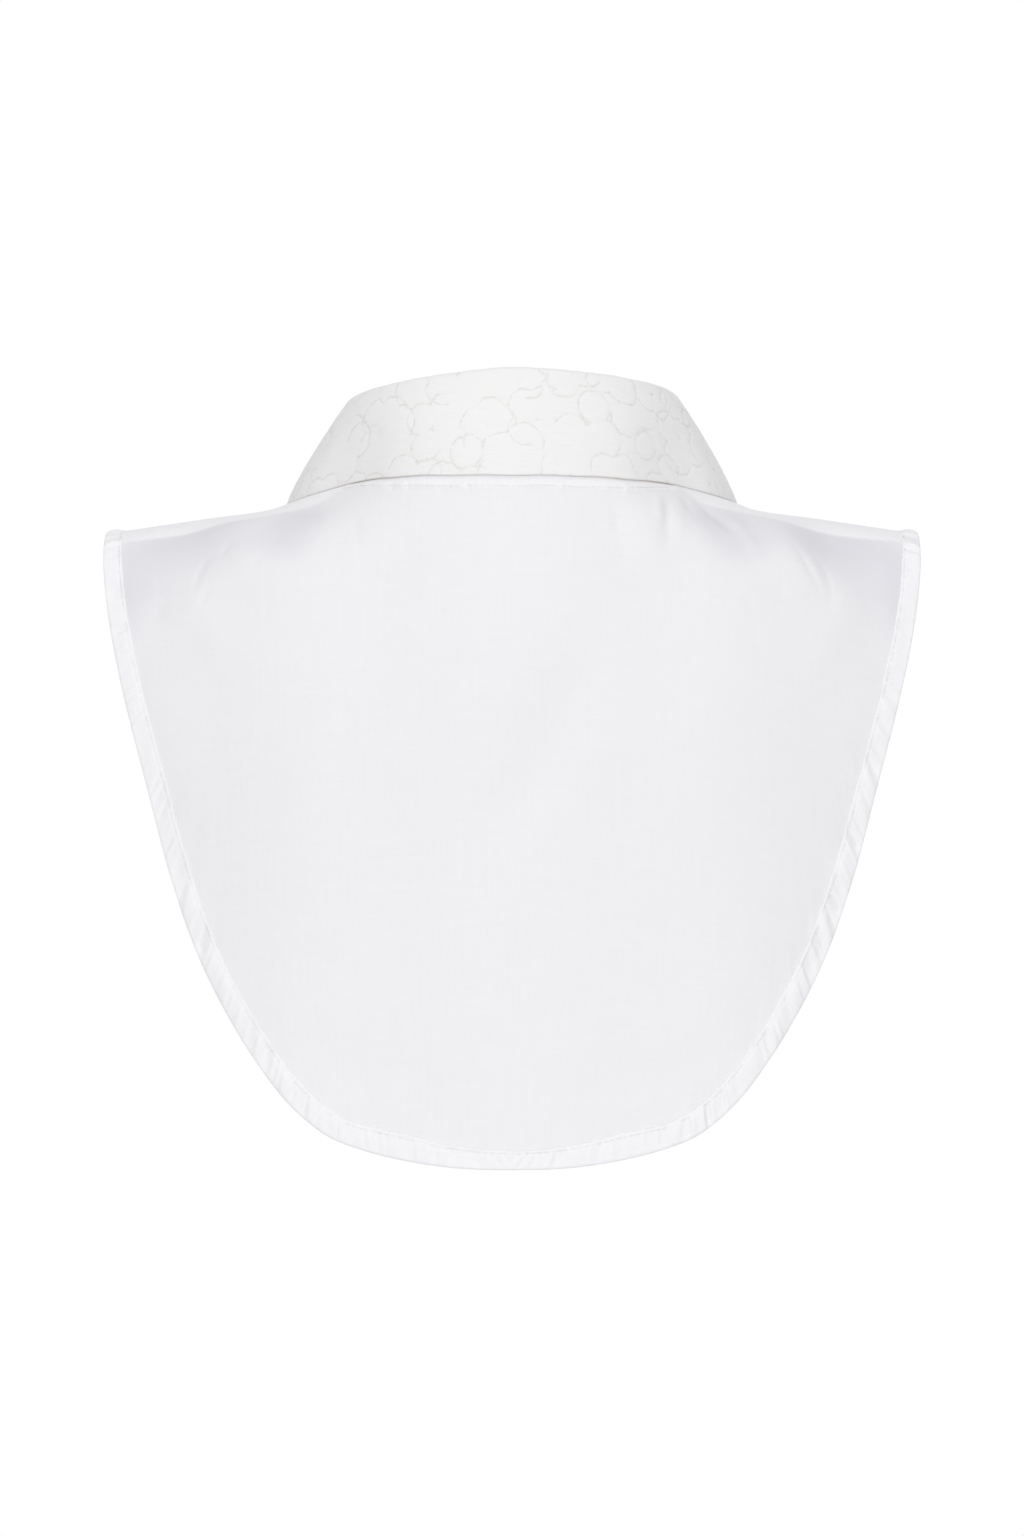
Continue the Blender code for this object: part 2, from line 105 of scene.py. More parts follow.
# The broad folds, which the solids have too, as places across and down the cloth.
Fold = namedtuple("Fold", "across down end_across end_down rise width")
FOLDS = [Fold(*row) for row in (
    (92, 18, 70, 75, -2.2, 11), (133, 22, 106, 72, 2.4, 12), (170, 40, 105, 22, -2.6, 13),
    (-70, 10, -96, 74, -2.6, 12), (-55, 58, -60, 96, 1.8, 10), (-118, 20, -127, 82, 2.4, 12),
    (-170, 40, -105, 22, -2.6, 13), (100, -20, 74, -86, -2.2, 12), (-104, -20, -80, -92, -2.2, 12),
    (140, -30, 112, -96, 2.0, 13), (-136, -26, -118, -90, 2.0, 13), (60, 44, 92, 2, 1.3, 12),
    (-60, 44, -92, 2, 1.3, 12),
)]

# The fine creases of the back, along places across and up as the camera sees them.
Crease = namedtuple("Crease", "path rise width")
BACK_CREASES = [Crease(*row) for row in (
    (((131.9, -26.5), (136.7, -35.2), (137.2, -43)), -0.65, 1.9),
    (((122.4, -21.3), (126.7, -27.4)), -0.5, 1.9),
    (((131.1, -41.7), (134.5, -49.5)), -0.45, 1.9),
    (((109.8, -29.1), (111.5, -35.2)), -0.3, 1.8),
    (((104.6, -46.9), (106.3, -54.8)), -0.25, 1.9),
    (((68, -10), (66.3, -23)), -0.5, 2.4),
    (((154.1, -48.7), (154.1, -57.4)), -0.3, 2),
    (((165, -43.5), (161.5, -41.7)), -0.4, 1.8),
    (((102.8, -19.6), (98.9, -23)), -0.3, 2),
    (((-46.3, -8.7), (-45, -19.2)), -0.9, 3),
    (((-63.3, -1.3), (-63.3, -15.2)), 0.9, 3),
    (((-67.2, -2.2), (-66.3, -13.9), (-65.9, -24.3)), -1.0, 3),
    (((-75.4, -2.2), (-77.2, -8.7)), -0.8, 2.6),
    (((-72.8, -8.7), (-70.6, -17.8)), 0.6, 3),
    (((-81.1, -3), (-94.1, -14.3), (-98.5, -19.1)), -0.9, 3),
    (((-93.2, -7.8), (-98.9, -15.2), (-104.6, -24.8), (-109.3, -31.7)), 0.7, 3.5),
    (((-121.5, -22.6), (-125.4, -29.1), (-131.1, -39.1), (-134.5, -46.5)), -0.5, 2),
    (((-132.8, -29.1), (-136.7, -36.5), (-137.6, -43), (-136.7, -50.4)), -0.42, 2),
    (((-128, -27.4), (-133.2, -42.2)), 0.35, 2.3),
    (((-115.9, -39.1), (-116.7, -46.5)), -0.3, 1.8),
    (((-98, -42.2), (-105.4, -53.9)), -0.3, 2.1),
    (((98.5, -9.5), (120, -20), (142, -31), (157, -45), (168, -68)), -3.2, 14),
    (((-101, -9.5), (-125, -18), (-146, -29), (-161, -44), (-170, -64)), -3.2, 14),
    (((150, -40), (132, -56), (120, -78)), 1.1, 9),
    (((-152, -36), (-140, -60), (-126, -84)), 1.1, 9),
    (((-40, -57), (-14, -112), (16, -168)), -2.0, 12),
    (((74, -66), (84, -120), (78, -190)), 0.9, 15),
    (((-86, -70), (-74, -128), (-58, -176)), 0.8, 14),
    (((96, -236), (60, -252), (20, -262)), -0.5, 9),
    (((-92, -240), (-58, -254), (-24, -264)), -0.5, 9),
)]
# Painted shade: soft darker, violet zones painted into the cloth's colour below the shoulder tips, under the
# leaf's sides and down the sides, as paths across and up with a strength and a width.
BACK_PAINTED_SHADE = [Crease(*row) for row in (
    (((102, -9.5), (128, -16.5), (150, -23), (164, -32), (169, -50), (167, -74)), 0.85, 21),
    (((-102, -9.5), (-128, -16.5), (-150, -23), (-164, -32), (-169, -50), (-167, -74)), 0.9, 21),
    (((74, -4), (90, -12), (106, -36)), 0.66, 16),
    (((-70, -4), (-90, -12), (-108, -38)), 0.66, 16),
    (((172, -62), (165, -100), (153, -140), (140, -180)), 0.36, 17),
    (((-172, -62), (-165, -100), (-153, -140), (-140, -180)), 0.32, 16),
)]
FRONT_CREASES = [Crease(*row) for row in (
    (((52, -62), (60, -96), (58, -128)), -0.9, 4.5),
    (((104, -34), (112, -56), (114, -78)), 0.8, 4),
    (((-98, -30), (-108, -52), (-112, -70)), -0.9, 4),
    (((-60, -70), (-66, -104), (-64, -140)), 0.8, 5),
    (((132, -30), (139, -48), (140, -60)), -0.5, 2.4),
    (((-130, -28), (-138, -44), (-139, -58)), -0.6, 2.4),
    (((18, -120), (26, -150), (24, -186)), -0.6, 6),
    (((-20, -190), (-30, -226), (-27, -250)), 0.6, 6),
    (((90, -238), (60, -254), (24, -262)), -0.5, 9),
)]

# The stand's height and the leaf's lower edge, by the angle round the neck from the centre back.
Collar = namedtuple("Collar", "turn stand_height edge_across roll_flare edge_flare")
COLLAR = [Collar(*row) for row in (
    (0, 35.5, 0, 20, 6), (25, 36.5, 32.5, 22, 8), (50, 36.0, 62, 30, 12), (75, 35.4, 86.9, 42, 18),
    (100, 35.2, 98.7, 44, 24), (125, 33.5, 93.6, 40, 20), (150, 29.6, 74, 30, 16),
    (180, 26.0, 46, 24, 12),
)]

# Where the leaf's edge hangs on the bib, a little lower on the wearer's left, and how far its middle lies off
LeafEdge = namedtuple("LeafEdge", "turn down lift")
LEAF_EDGE = [LeafEdge(*row) for row in (
    (-180, -150, 2.3), (-150, -112, 2.2), (-125, -62, 2.2), (-100, -14, 2.6), (-87.5, 3.3, 2.9),
    (-75, 18.0, 2.75), (-62.5, 29.5, 2.5), (-50, 45.2, 2.7), (-37.5, 61.0, 3.0), (-25, 71.6, 3.0),
    (-12.5, 78.7, 3.0), (0, 82.2, 3.0), (12.5, 78.6, 3.0), (25, 71.0, 3.0), (37.5, 59.6, 3.0),
    (50, 43.2, 2.75), (62.5, 28.5, 2.65), (75, 17.0, 2.75), (87.5, 3.3, 2.45), (100, -14, 2.35),
    (125, -62, 2.1), (150, -112, 2.2), (180, -150, 2.3),
)]
LEAF_HALF = 0.7
LEAF_CLEARANCE = 0.12
LEAF_DRAW = 8.0
LEAF_BULGE = 1.0

# The visible cloth
CLOTH_LIFT = 1.0
HEM_TOP = 1.9
HEM_PUCKER = 1.25
PANEL_PUCKER = 0.35
PANEL_PUCKER_REACH = 4.5
CREASE_FADE = 16.0
HEM_STITCH_INSET = 7.1
PLACKET_STITCH_INSET = 2.6
STITCH_PITCH = 2.9
STITCH_LENGTH = 2.2
STITCH_RADIUS = 0.2
STITCH_SINK = 0.22
HEM_STEP = 0.55
HEM_PANEL_INSET = 0.9
BAND_WIDTH = 5.0
BAND_RISE = 0.35
NECK_PUCKER = 0.7
NECK_DIP = 0.22
SHOULDER_DROP = 1.8
SHOULDER_WIDENING = 2.8
SHOULDER_WIDENS_FROM = 95.0
SHOULDER_WIDENS_OVER = 80.0
SHOULDER_SOFTNESS = 0.9
SHOULDER_RISE = 0.3
FINE_ROWS_FROM = 0.02
FINE_ROWS_TO = 0.13


def ease(share):
    """From 0 to 1, level at both ends."""
    share = np.clip(share, 0.0, 1.0)
    return share * share * (3.0 - 2.0 * share)


def smooth_read(stations, values, places):
    """A smooth curve through values given at rising stations."""
    stations = np.asarray(stations, float)
    values = np.asarray(values, float)
    slopes = np.gradient(values, stations)
    places = np.clip(places, stations[0], stations[-1])
    index = np.clip(np.searchsorted(stations, places, side="right") - 1, 0, len(stations) - 2)
    width = stations[index + 1] - stations[index]
    share = (places - stations[index]) / width
    rest = 1.0 - share
    start = rest * rest * ((1.0 + 2.0 * share) * values[index] + share * width * slopes[index])
    end = share * share * ((3.0 - 2.0 * share) * values[index + 1] - rest * width * slopes[index + 1])
    return start + end


def section_size(name, across):
    """A size of the figure, its change from station to station softened below the shoulder line."""
    stations = [row.across for row in SECTIONS]
    values = [getattr(row, name) for row in SECTIONS]
    mirrored = [-station for station in stations[:0:-1]]
    shifts = (0.0,) if name.startswith("ridge") else SECTION_SHIFTS
    read = [smooth_read(mirrored + stations, values[:0:-1] + values, across + shift) for shift in shifts]
    return sum(read) / len(read)


def collar_size(name, turn):
    stations = [row.turn for row in COLLAR]
    values = [getattr(row, name) for row in COLLAR]
    other = -1.0 if name == "edge_across" else 1.0
    mirrored = [-station for station in stations[:0:-1]]
    return smooth_read(mirrored + stations, [other * value for value in values[:0:-1]] + values, turn)


def leaf_edge(name, turn):
    return smooth_read([row.turn for row in LEAF_EDGE], [getattr(row, name) for row in LEAF_EDGE], turn)


def figure(across, down):
    """The place on the figure, across from the centre and down from the shoulder (minus on the front)."""
    across, down = np.broadcast_arrays(np.asarray(across, float), np.asarray(down, float))
    on_back = down >= 0.0
    flat = np.where(on_back, section_size("back_flat", across), section_size("front_flat", across))
    roll = np.where(on_back, section_size("back_roll", across), section_size("front_roll", across))
    angle = np.where(on_back, section_size("back_angle", across), section_size("front_angle", across))
    hang_length = np.where(on_back, BACK_HANG_LENGTH, FRONT_HANG_LENGTH)
    hang_angle = np.where(on_back, BACK_HANG_ANGLE, FRONT_HANG_ANGLE)
    length = np.abs(down)
    level = np.zeros(across.shape)
    drop = np.zeros(across.shape)
    for step in range(SECTION_STEPS):
        reached = length * (step + 0.5) / SECTION_STEPS
        turned = angle * ease((reached - flat) / (roll - flat))
        slope = np.radians(turned + (hang_angle - angle) * ease((reached - roll) / (hang_length - roll)))
        level += np.cos(slope) / SECTION_STEPS
        drop += np.sin(slope) / SECTION_STEPS
    depth = section_size("ridge_depth", across) + down * level
    height = section_size("ridge_height", across) - length * drop
    return np.stack([across, depth, height], -1)


def figure_normal(across, down):
    """The direction straight out of the figure."""
    step = 1.0
    sideways = figure(across + step, down) - figure(across - step, down)
    downwards = figure(across, down + step) - figure(across, down - step)
    outwards = np.cross(sideways, downwards)
    return outwards / np.linalg.norm(outwards, axis=-1, keepdims=True)


def fold_rise(across, down):
    """How far the broad folds lift the cloth."""
    rise = np.zeros_like(across)
    for fold in FOLDS:
        run = np.array([fold.end_across - fold.across, fold.end_down - fold.down])
        length = np.hypot(*run)
        along = ((across - fold.across) * run[0] + (down - fold.down) * run[1]) / length
        beside = ((across - fold.across) * run[1] - (down - fold.down) * run[0]) / length
        middle = (along / length - 0.5) / 0.75
        rise += fold.rise * np.exp(-((beside / fold.width) ** 2)) * ease(1.0 - np.abs(middle))
    return rise


def cloth(across, down, lift=0.0):
    """A place on the bib's inner face, moved out by lift."""
    lifted = np.asarray(fold_rise(across, down) + lift)
    return figure(across, down) + lifted[..., None] * figure_normal(across, down)


def down_at(across, height, side):
    """The length down from the shoulder line at which the figure reaches a height."""
    near = np.zeros_like(across)
    far = np.full_like(across, 500.0)
    for _ in range(26):
        middle = (near + far) / 2.0
        above = figure(across, side * middle)[..., 2] > height
        near = np.where(above, middle, near)
        far = np.where(above, far, middle)
    return side * (near + far) / 2.0


def neck_curve(turn, side):
    """The neck seam as cut, between the two sides of the neck."""
    power = 2.0 / NECK_ROUNDNESS
    drop = BACK_NECK_DROP if side > 0 else FRONT_NECK_DROP
    across = NECK_HALF_WIDTH * np.sign(np.sin(turn)) * np.abs(np.sin(turn)) ** power
    down = side * drop * np.abs(np.cos(turn)) ** power
    return np.stack([across, down], -1)


def neck_down(across, side):
    drop = BACK_NECK_DROP if side > 0 else FRONT_NECK_DROP
    share = np.clip(np.abs(across) / NECK_HALF_WIDTH, 0.0, 1.0)
    return side * drop * (1.0 - share**NECK_ROUNDNESS) ** (1.0 / NECK_ROUNDNESS)


def edge_curve(side):
    """The bib's outer edge as cut, from one shoulder tip round to the other."""
    whole = np.array([(-across, height) for across, height in EDGE[:-1]] + list(EDGE[::-1]))
    chord = np.hypot(*np.diff(whole, axis=0).T)
    run = np.concatenate([[0.0], np.cumsum(chord)])
    places = np.linspace(0.0, run[-1], EDGE_POINTS)
    across = smooth_read(run, whole[:, 0], places)
    height = smooth_read(run, whole[:, 1], places)
    down = down_at(across, height, side)
    down[[0, -1]] = 0.0
    return np.stack([across, down], -1)


def curve_run(curve):
    return np.concatenate([[0.0], np.cumsum(np.linalg.norm(np.diff(curve, axis=0), axis=1))])


def grid_run(points, axis):
    """The length from a grid's first row, or first column, to each of its points."""
    steps = np.linalg.norm(np.diff(points, axis=axis), axis=-1)
    before = [(0, 0), (0, 0)]
    before[axis] = (1, 0)
    return np.cumsum(np.pad(steps, before), axis=axis)


def even_steps(curve, count):
    """The same curve with its points evenly apart."""
    run = curve_run(curve)
    places = np.linspace(0.0, run[-1], count)
    return np.stack([np.interp(places, run, curve[:, axis]) for axis in range(curve.shape[1])], -1)


def inward_of(curve):
    """The direction in the cut from the outer edge into the cloth."""
    tangent = np.gradient(curve, axis=0)
    tangent /= np.hypot(tangent[:, 0], tangent[:, 1])[:, None]
    inward = np.stack([-tangent[:, 1], tangent[:, 0]], -1)
    side = len(curve) // 4
    if inward[side, 0] * curve[side, 0] > 0:
        inward = -inward
    return inward


def front_outline(side_sign, columns):
    """Neck and outer edge of one front, from its shoulder to its edge past the centre line."""
    last = -side_sign * LAP_HALF_WIDTH
    neck = neck_curve(np.linspace(pi / 2, 0.0, 400), -1)
    beyond = np.linspace(0.0, LAP_HALF_WIDTH, 20)[1:]
    neck = np.concatenate([neck, np.stack([-beyond, neck_down(beyond, -1)], -1)])
    neck[:, 0] *= side_sign
    edge = edge_curve(-1)
    if side_sign > 0:
        edge = edge[::-1]
    edge = edge[edge[:, 0] * side_sign > last * side_sign]
    ending = np.array([[last, np.interp(last * side_sign, edge[::-1, 0] * side_sign, edge[::-1, 1])]])
    edge = np.concatenate([edge, ending])
    return even_steps(neck, columns), even_steps(edge, columns)


FRONT_BOTTOM = edge_curve(-1)
FRONT_BOTTOM = FRONT_BOTTOM[np.argsort(FRONT_BOTTOM[:, 0])]


def hem_step(across, down):
    """What lies on a front climbs its raised hem."""
    bottom = np.interp(across, FRONT_BOTTOM[:, 0], FRONT_BOTTOM[:, 1])
    over_hem = np.abs(down) - np.abs(bottom) + HEM_WIDTH + 18.0
    return (HEM_RAISED + SEAM_GAP) * ease(over_hem / 16.0)


def lap_lift(across, down):
    """The wearer's right front rises over the left one, and over its hem, where they lap."""
    return (WALL + SEAM_GAP + hem_step(across, down)) * ease((across + LAP_HALF_WIDTH + 38.0) / 20.0)


def no_lift(across, down):
    return 0.0 * across


def ring_frame(turn):
    """The neck seam, the stand's top and the level way out, at an angle from the centre back."""
    angle = radians(turn)
    seam = neck_curve(np.array(angle), 1 if cos(angle) >= 0 else -1)
    bottom = figure(seam[0], seam[1])
    power = 2.0 / NECK_ROUNDNESS
    depth = STAND_BACK_DEPTH if cos(angle) >= 0 else STAND_FRONT_DEPTH
    across = STAND_HALF_WIDTH * np.sign(sin(angle)) * abs(sin(angle)) ** power
    outwards = Vector((sin(angle) / STAND_HALF_WIDTH, cos(angle) / depth, 0.0)).normalized()
    wrapped = (turn + 180.0) % 360.0 - 180.0
    height = bottom[2] + float(collar_size("stand_height", wrapped)) - STAND_TILT * across
    top = Vector((across, depth * np.sign(cos(angle)) * abs(cos(angle)) ** power, height))
    under = outwards * (-STAND_LAP_LIFT * float(ease((turn - 145.0) / 20.0)))
    inside = outwards * (COLLAR_WALL / 2.0 + 2.0 * SEAM_GAP)
    return Vector(bottom) - inside + under, top + under, outwards


def stand_point(turn, rise):
    bottom, top, outwards = ring_frame(turn)
    return bottom.lerp(top, rise) - outwards * STAND_HOLLOW * sin(pi * rise)


def leaf_section(turn, roll_rows, fall_shares):
    """The leaf's middle line: up from the stand, over the roll and down to its edge."""
    _, top, outwards = ring_frame(turn)
    along = (ring_frame(turn + 1.0)[1] - ring_frame(turn - 1.0)[1]).normalized()
    up = top - stand_point(turn, 0.9)
    up = (up - along * up.dot(along)).normalized()
    outwards = along.cross(up) * (1.0 if along.cross(up).dot(outwards) > 0 else -1.0)
    wrapped = max(-180.0, min(180.0, turn * 180.0 / LEAF_END_TURN))
    across, roll_flare, edge_flare = (
        float(collar_size(name, wrapped)) for name in ("edge_across", "roll_flare", "edge_flare")
    )
    down, lift = float(leaf_edge("down", wrapped)), float(leaf_edge("lift", wrapped))
    seam = np.array(top + up * LEAF_SEAM_GAP)
    up = np.array(up)
    outwards = np.array(outwards)
    centre = seam + outwards * ROLL_RADIUS
    edge = figure(across, down) + lift * figure_normal(across, down)
    angles = (pi - radians(roll_flare)) * np.linspace(0.0, 1.0, roll_rows + 1)[:, None]
    roll = centre - outwards * ROLL_RADIUS * np.cos(angles) + up * ROLL_RADIUS * np.sin(angles)
    start = roll[-1]
    fall = edge - start
    level = np.array([fall[0], fall[1], 0.0]) / np.hypot(fall[0], fall[1])
    reach = np.linalg.norm(fall) / 3.0
    leaving = outwards * sin(radians(roll_flare)) - up * cos(radians(roll_flare))
    arriving = level * sin(radians(edge_flare)) - np.array([0.0, 0.0, cos(radians(edge_flare))])
    share = np.asarray(fall_shares)[:, None]
    rest = 1.0 - share
    near = start * rest**3 + (start + leaving * reach) * 3.0 * rest * rest * share
    drop = near + (edge - arriving * reach) * 3.0 * rest * share * share + edge * share**3
    bulge = LEAF_BULGE * np.exp(-(((abs(wrapped) - 88.0) / 34.0) ** 2))
    return np.concatenate([roll, drop + level * bulge * np.sin(pi * share)])


# Meshes

def grid_faces(rows, columns):
    corner = (np.arange(rows - 1)[:, None] * columns + np.arange(columns - 1)).ravel()
    return np.stack([corner, corner + 1, corner + columns + 1, corner + columns], -1)


def new_piece(name, points, faces, material, slot, **attributes):
    """A smooth mesh from points in millimetres and four-sided faces, with per-point values."""
    mesh = bpy.data.meshes.new(name)
    mesh.vertices.add(len(points))
    mesh.vertices.foreach_set("co", (np.asarray(points) * MM).astype(np.float32).ravel())
    mesh.loops.add(faces.size)
    mesh.loops.foreach_set("vertex_index", faces.astype(np.int32).ravel())
    mesh.polygons.add(len(faces))
    mesh.polygons.foreach_set("loop_start", np.arange(0, faces.size, 4, dtype=np.int32))
    mesh.update(calc_edges=True)
    mesh.validate()
    for key, values in attributes.items():
        values = np.asarray(values, np.float32)
        kind = "FLOAT_VECTOR" if values.ndim > 1 else "FLOAT"
        layer = mesh.attributes.new(key, kind, "POINT")
        layer.data.foreach_set("vector" if values.ndim > 1 else "value", values.ravel())
    mesh.shade_smooth()
    made = bpy.data.objects.new(name, mesh)
    bpy.context.scene.collection.objects.link(made)
    mesh.materials.append(material)
    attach(made, "root")
    return made


def grid_normals(points):
    """The outward side of each point of a grid: along its columns, then its rows."""
    along = np.gradient(points, axis=1)
    across = np.gradient(points, axis=0)
    outwards = np.cross(along, across)
    return outwards / np.maximum(np.linalg.norm(outwards, axis=-1, keepdims=True), 1e-9)


def thick_sheet(middle, half, rounding, relief=None):
    """A closed sheet round a grid of middle points, with rounded borders. The outer grid comes first."""
    rows, columns = middle.shape[:2]
    outwards = grid_normals(middle)
    along = grid_run(middle, 1)
    down = grid_run(middle, 0)
    border = np.minimum(np.minimum(along, along[:, -1:] - along), np.minimum(down, down[-1:] - down))
    share = 1.0 - np.clip(border / rounding, 0.0, 1.0)
    depth = half * np.sqrt(np.maximum(1.0 - share * share, 0.0))
    outer_depth = depth if relief is None else depth + relief * (depth / half)
    outer = middle + outwards * outer_depth[..., None]
    inner = middle - outwards * depth[..., None]
    index = np.arange(rows * columns).reshape(rows, columns)
    inner_index = index.copy()
    inside = (rows - 2, columns - 2)
    inner_index[1:-1, 1:-1] = rows * columns + np.arange(inside[0] * inside[1]).reshape(inside)
    front = grid_faces(rows, columns)
    back = inner_index.ravel()[front][:, ::-1]
    points = np.concatenate([outer.reshape(-1, 3), inner[1:-1, 1:-1].reshape(-1, 3)])
    return points, np.concatenate([front, back])


def both_sides(values):
    """Values of the outer grid, then of the inner one's own points."""
    inside = values[1:-1, 1:-1]
    return np.concatenate([values.reshape(-1, *values.shape[2:]), inside.reshape(-1, *values.shape[2:])])


def band_loft(places, lift):
    """A band with open ends, from cut places with a lift each. Its section runs along the rows."""
    points = cloth(places[..., 0], places[..., 1], lift)
    rows, columns = lift.shape
    corner = (np.arange(rows)[:, None] * columns + np.arange(columns - 1)).ravel()
    following = ((np.arange(rows)[:, None] + 1) % rows * columns + np.arange(columns - 1)).ravel()
    faces = np.stack([corner, corner + 1, following + 1, following], -1)
    return points.reshape(-1, 3), faces


def hash_noise(places, cell, seed):
    """Smooth noise along a line, from -1 to 1."""
    source = np.random.default_rng(seed)
    knots = source.uniform(-1.0, 1.0, 4096)
    at = np.asarray(places) / cell + 1000.0
    index = np.floor(at).astype(int)
    share = ease(at - index)
    return knots[index % 4096] * (1.0 - share) + knots[(index + 1) % 4096] * share


def crease_rise(across, down, creases, side):
    """How far the fine creases lift the cloth; along the painted-shade paths, how strong the painted shade
    is.
    """
    rise = np.zeros_like(across)
    for crease in creases:
        path = np.array(crease.path, float)
        path[:, 1] = down_at(path[:, 0], path[:, 1], side)
        run = curve_run(path)
        dense = np.linspace(0.0, run[-1], 4 * len(path))
        line = np.stack([np.interp(dense, run, path[:, 0]), np.interp(dense, run, path[:, 1])], -1)
        reach = 3.0 * crease.width + 1.0
        near = (across > line[:, 0].min() - reach) & (across < line[:, 0].max() + reach)
        near &= (down > line[:, 1].min() - reach) & (down < line[:, 1].max() + reach)
        if not near.any():
            continue
        best = np.full(near.sum(), 1e9)
        at = np.zeros(near.sum())
        for number in range(len(line) - 1):
            start = line[number]
            step = line[number + 1] - start
            length = max(np.hypot(*step), 1e-6)
            x, y = across[near] - start[0], down[near] - start[1]
            share = np.clip((x * step[0] + y * step[1]) / length**2, 0.0, 1.0)
            apart = np.hypot(x - share * step[0], y - share * step[1])
            closer = apart < best
            best = np.where(closer, apart, best)
            at = np.where(closer, (dense[number] + share * length) / run[-1], at)
        ends = 0.25 + 0.75 * ease(np.minimum(at, 1.0 - at) / 0.35)
        rise[near] += crease.rise * ends * np.exp(-((best / crease.width) ** 2))
    return rise


def leaf_edge_down(across):
    """How far down the back the leaf's lower edge hangs, at a place across."""
    turns = np.linspace(-92.0, 92.0, 400)
    edge_across = collar_size("edge_across", turns)
    return np.interp(across, edge_across, leaf_edge("down", turns), left=-40.0, right=-40.0)


def drawn_to_leaf(across, down, lift, band):
    """The cloth's lift, brought to just under the leaf along the leaf's edge."""
    turns = np.linspace(-LEAF_END_TURN, LEAF_END_TURN, 480)
    places = zip(collar_size("edge_across", turns), leaf_edge("down", turns), leaf_edge("lift", turns))
    apart = np.full(across.shape, 1e9)
    reached = np.zeros(across.shape)
    for place, length, leaf_lift in places:
        distance = (across - place) ** 2 + (down - length) ** 2
        closer = distance < apart
        apart = np.where(closer, distance, apart)
        reached = np.where(closer, leaf_lift, reached)
    upright = figure_normal(across, down)[..., 2]
    half = LEAF_HALF * (1.0 - upright)
    wanted = reached - half - LEAF_CLEARANCE - band - fold_rise(across, down)
    return lift + (wanted - lift) * np.exp(-apart / LEAF_DRAW**2)


def neck_band(across, down):
    """Below the leaf: how much the pressed seam allowance shows, its rise, and its puckers."""
    below = down - leaf_edge_down(across)
    width = BAND_WIDTH + 0.5 * hash_noise(across, 9.0, SEED)
    shown = ease((82.0 - np.abs(across)) / 16.0)
    on_band = ease((width - below) / 1.1 + 0.5)
    pucker = hash_noise(across, 2.3, SEED + 1) + 0.6 * hash_noise(across, 5.1, SEED + 2)
    strength = np.exp(-(((below - width) / 2.4) ** 2)) * (0.55 + 0.45 * hash_noise(across, 17.0, SEED + 3))
    dip = -NECK_DIP * np.exp(-(((below - width - 0.5) / 1.0) ** 2))
    return on_band * shown, (BAND_RISE * on_band + NECK_PUCKER * pucker * strength + dip) * shown


def hem_pucker(run, inset, whole):
    """The hem's cross puckers: a ladder near the shoulder tips, slanting lower down, fine at the bottom."""
    from_tip = np.minimum(run, whole - run)
    slant = 0.9 * ease((from_tip - 90.0) / 60.0) * np.sign(whole / 2.0 - run)
    along = run + slant * inset
    ladder = hash_noise(along, 2.6, SEED + 4) * (0.35 + 0.65 * np.exp(-(((from_tip - 22.0) / 16.0) ** 2)))
    slow = hash_noise(along, 7.5, SEED + 5) * (0.4 + 0.6 * np.exp(-(((from_tip - 245.0) / 70.0) ** 2)))
    fine = hash_noise(along, 3.4, SEED + 6) * np.exp(-(((from_tip - 335.0) / 24.0) ** 2))
    return ladder + slow + fine


def pillow(share):
    return np.clip(4.0 * share * (1.0 - share), 0.0, 1.0)


def row_shares(rows):
    """Rows from the neck to the hem, closer together round the leaf's edge."""
    first = np.linspace(0.0, FINE_ROWS_FROM, 3)[:-1]
    fine = np.linspace(FINE_ROWS_FROM, FINE_ROWS_TO, 44)[:-1]
    return np.concatenate([first, fine, np.linspace(FINE_ROWS_TO, 1.0, rows - 45)])


def shoulder_layers(across, down):
    """Where the cloth lies double: along the shoulder seam, in a strip that widens to the tip."""
    below = section_size("ridge_height", across) - figure(across, down)[..., 2]
    widened = ease((np.abs(across) - SHOULDER_WIDENS_FROM) / SHOULDER_WIDENS_OVER)
    width = SHOULDER_DROP + SHOULDER_WIDENING * widened
    beside_neck = ease((np.abs(across) - NECK_HALF_WIDTH) / 6.0)
    return (1.0 - ease((below - width) / SHOULDER_SOFTNESS + 0.5)) * beside_neck


def bib_panel(name, node, neck, edge, shares, lift, creases, side, material):
    """One panel of the bib, from the neck seam to just inside its hem."""
    inward = inward_of(edge)
    hem = edge + HEM_WIDTH * inward
    outer = edge + HEM_PANEL_INSET * inward
    grid = [neck + (hem - neck) * share for share in shares]
    grid += [hem + (outer - hem) * share for share in (0.12, 0.3, 0.65, 1.0)]
    grid = np.array(grid)
    across = grid[..., 0]
    down = side * np.maximum(side * grid[..., 1], 0.0)
    run = np.broadcast_to(curve_run(edge), across.shape)
    from_hem = np.hypot(*(grid - hem[None]).transpose(2, 0, 1))
    puckers = PANEL_PUCKER * hem_pucker(run, from_hem, run[0, -1]) * np.exp(-from_hem / PANEL_PUCKER_REACH)
    layers = shoulder_layers(across, down)
    shown, band = neck_band(across, down) if side > 0 else (0.0 * across, 0.0 * across)
    rise = CLOTH_LIFT + crease_rise(across, down, creases, side) * ease(from_hem / CREASE_FADE)
    rise = drawn_to_leaf(across, down, rise, BAND_RISE * shown)
    rise += band + puckers + SHOULDER_RISE * layers - 0.3 * np.exp(-((down / 0.8) ** 2))
    layers = np.maximum(layers, shown)
    # Painted shade: how much darker the single cloth is painted along the painted-shade paths.
    thin = crease_rise(across, down, BACK_PAINTED_SHADE, side) * (1.0 - layers)
    points = cloth(across, down, rise + lift(across, down))
    cut = grain(points)
    faces = grid_faces(*across.shape)
    made = new_piece(
        name, points.reshape(-1, 3), faces, material, "bib_cloth",
        cut=cut.reshape(-1, 3), layers=layers.ravel(), thin=thin.ravel(),
    )
    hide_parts(node)
    return made


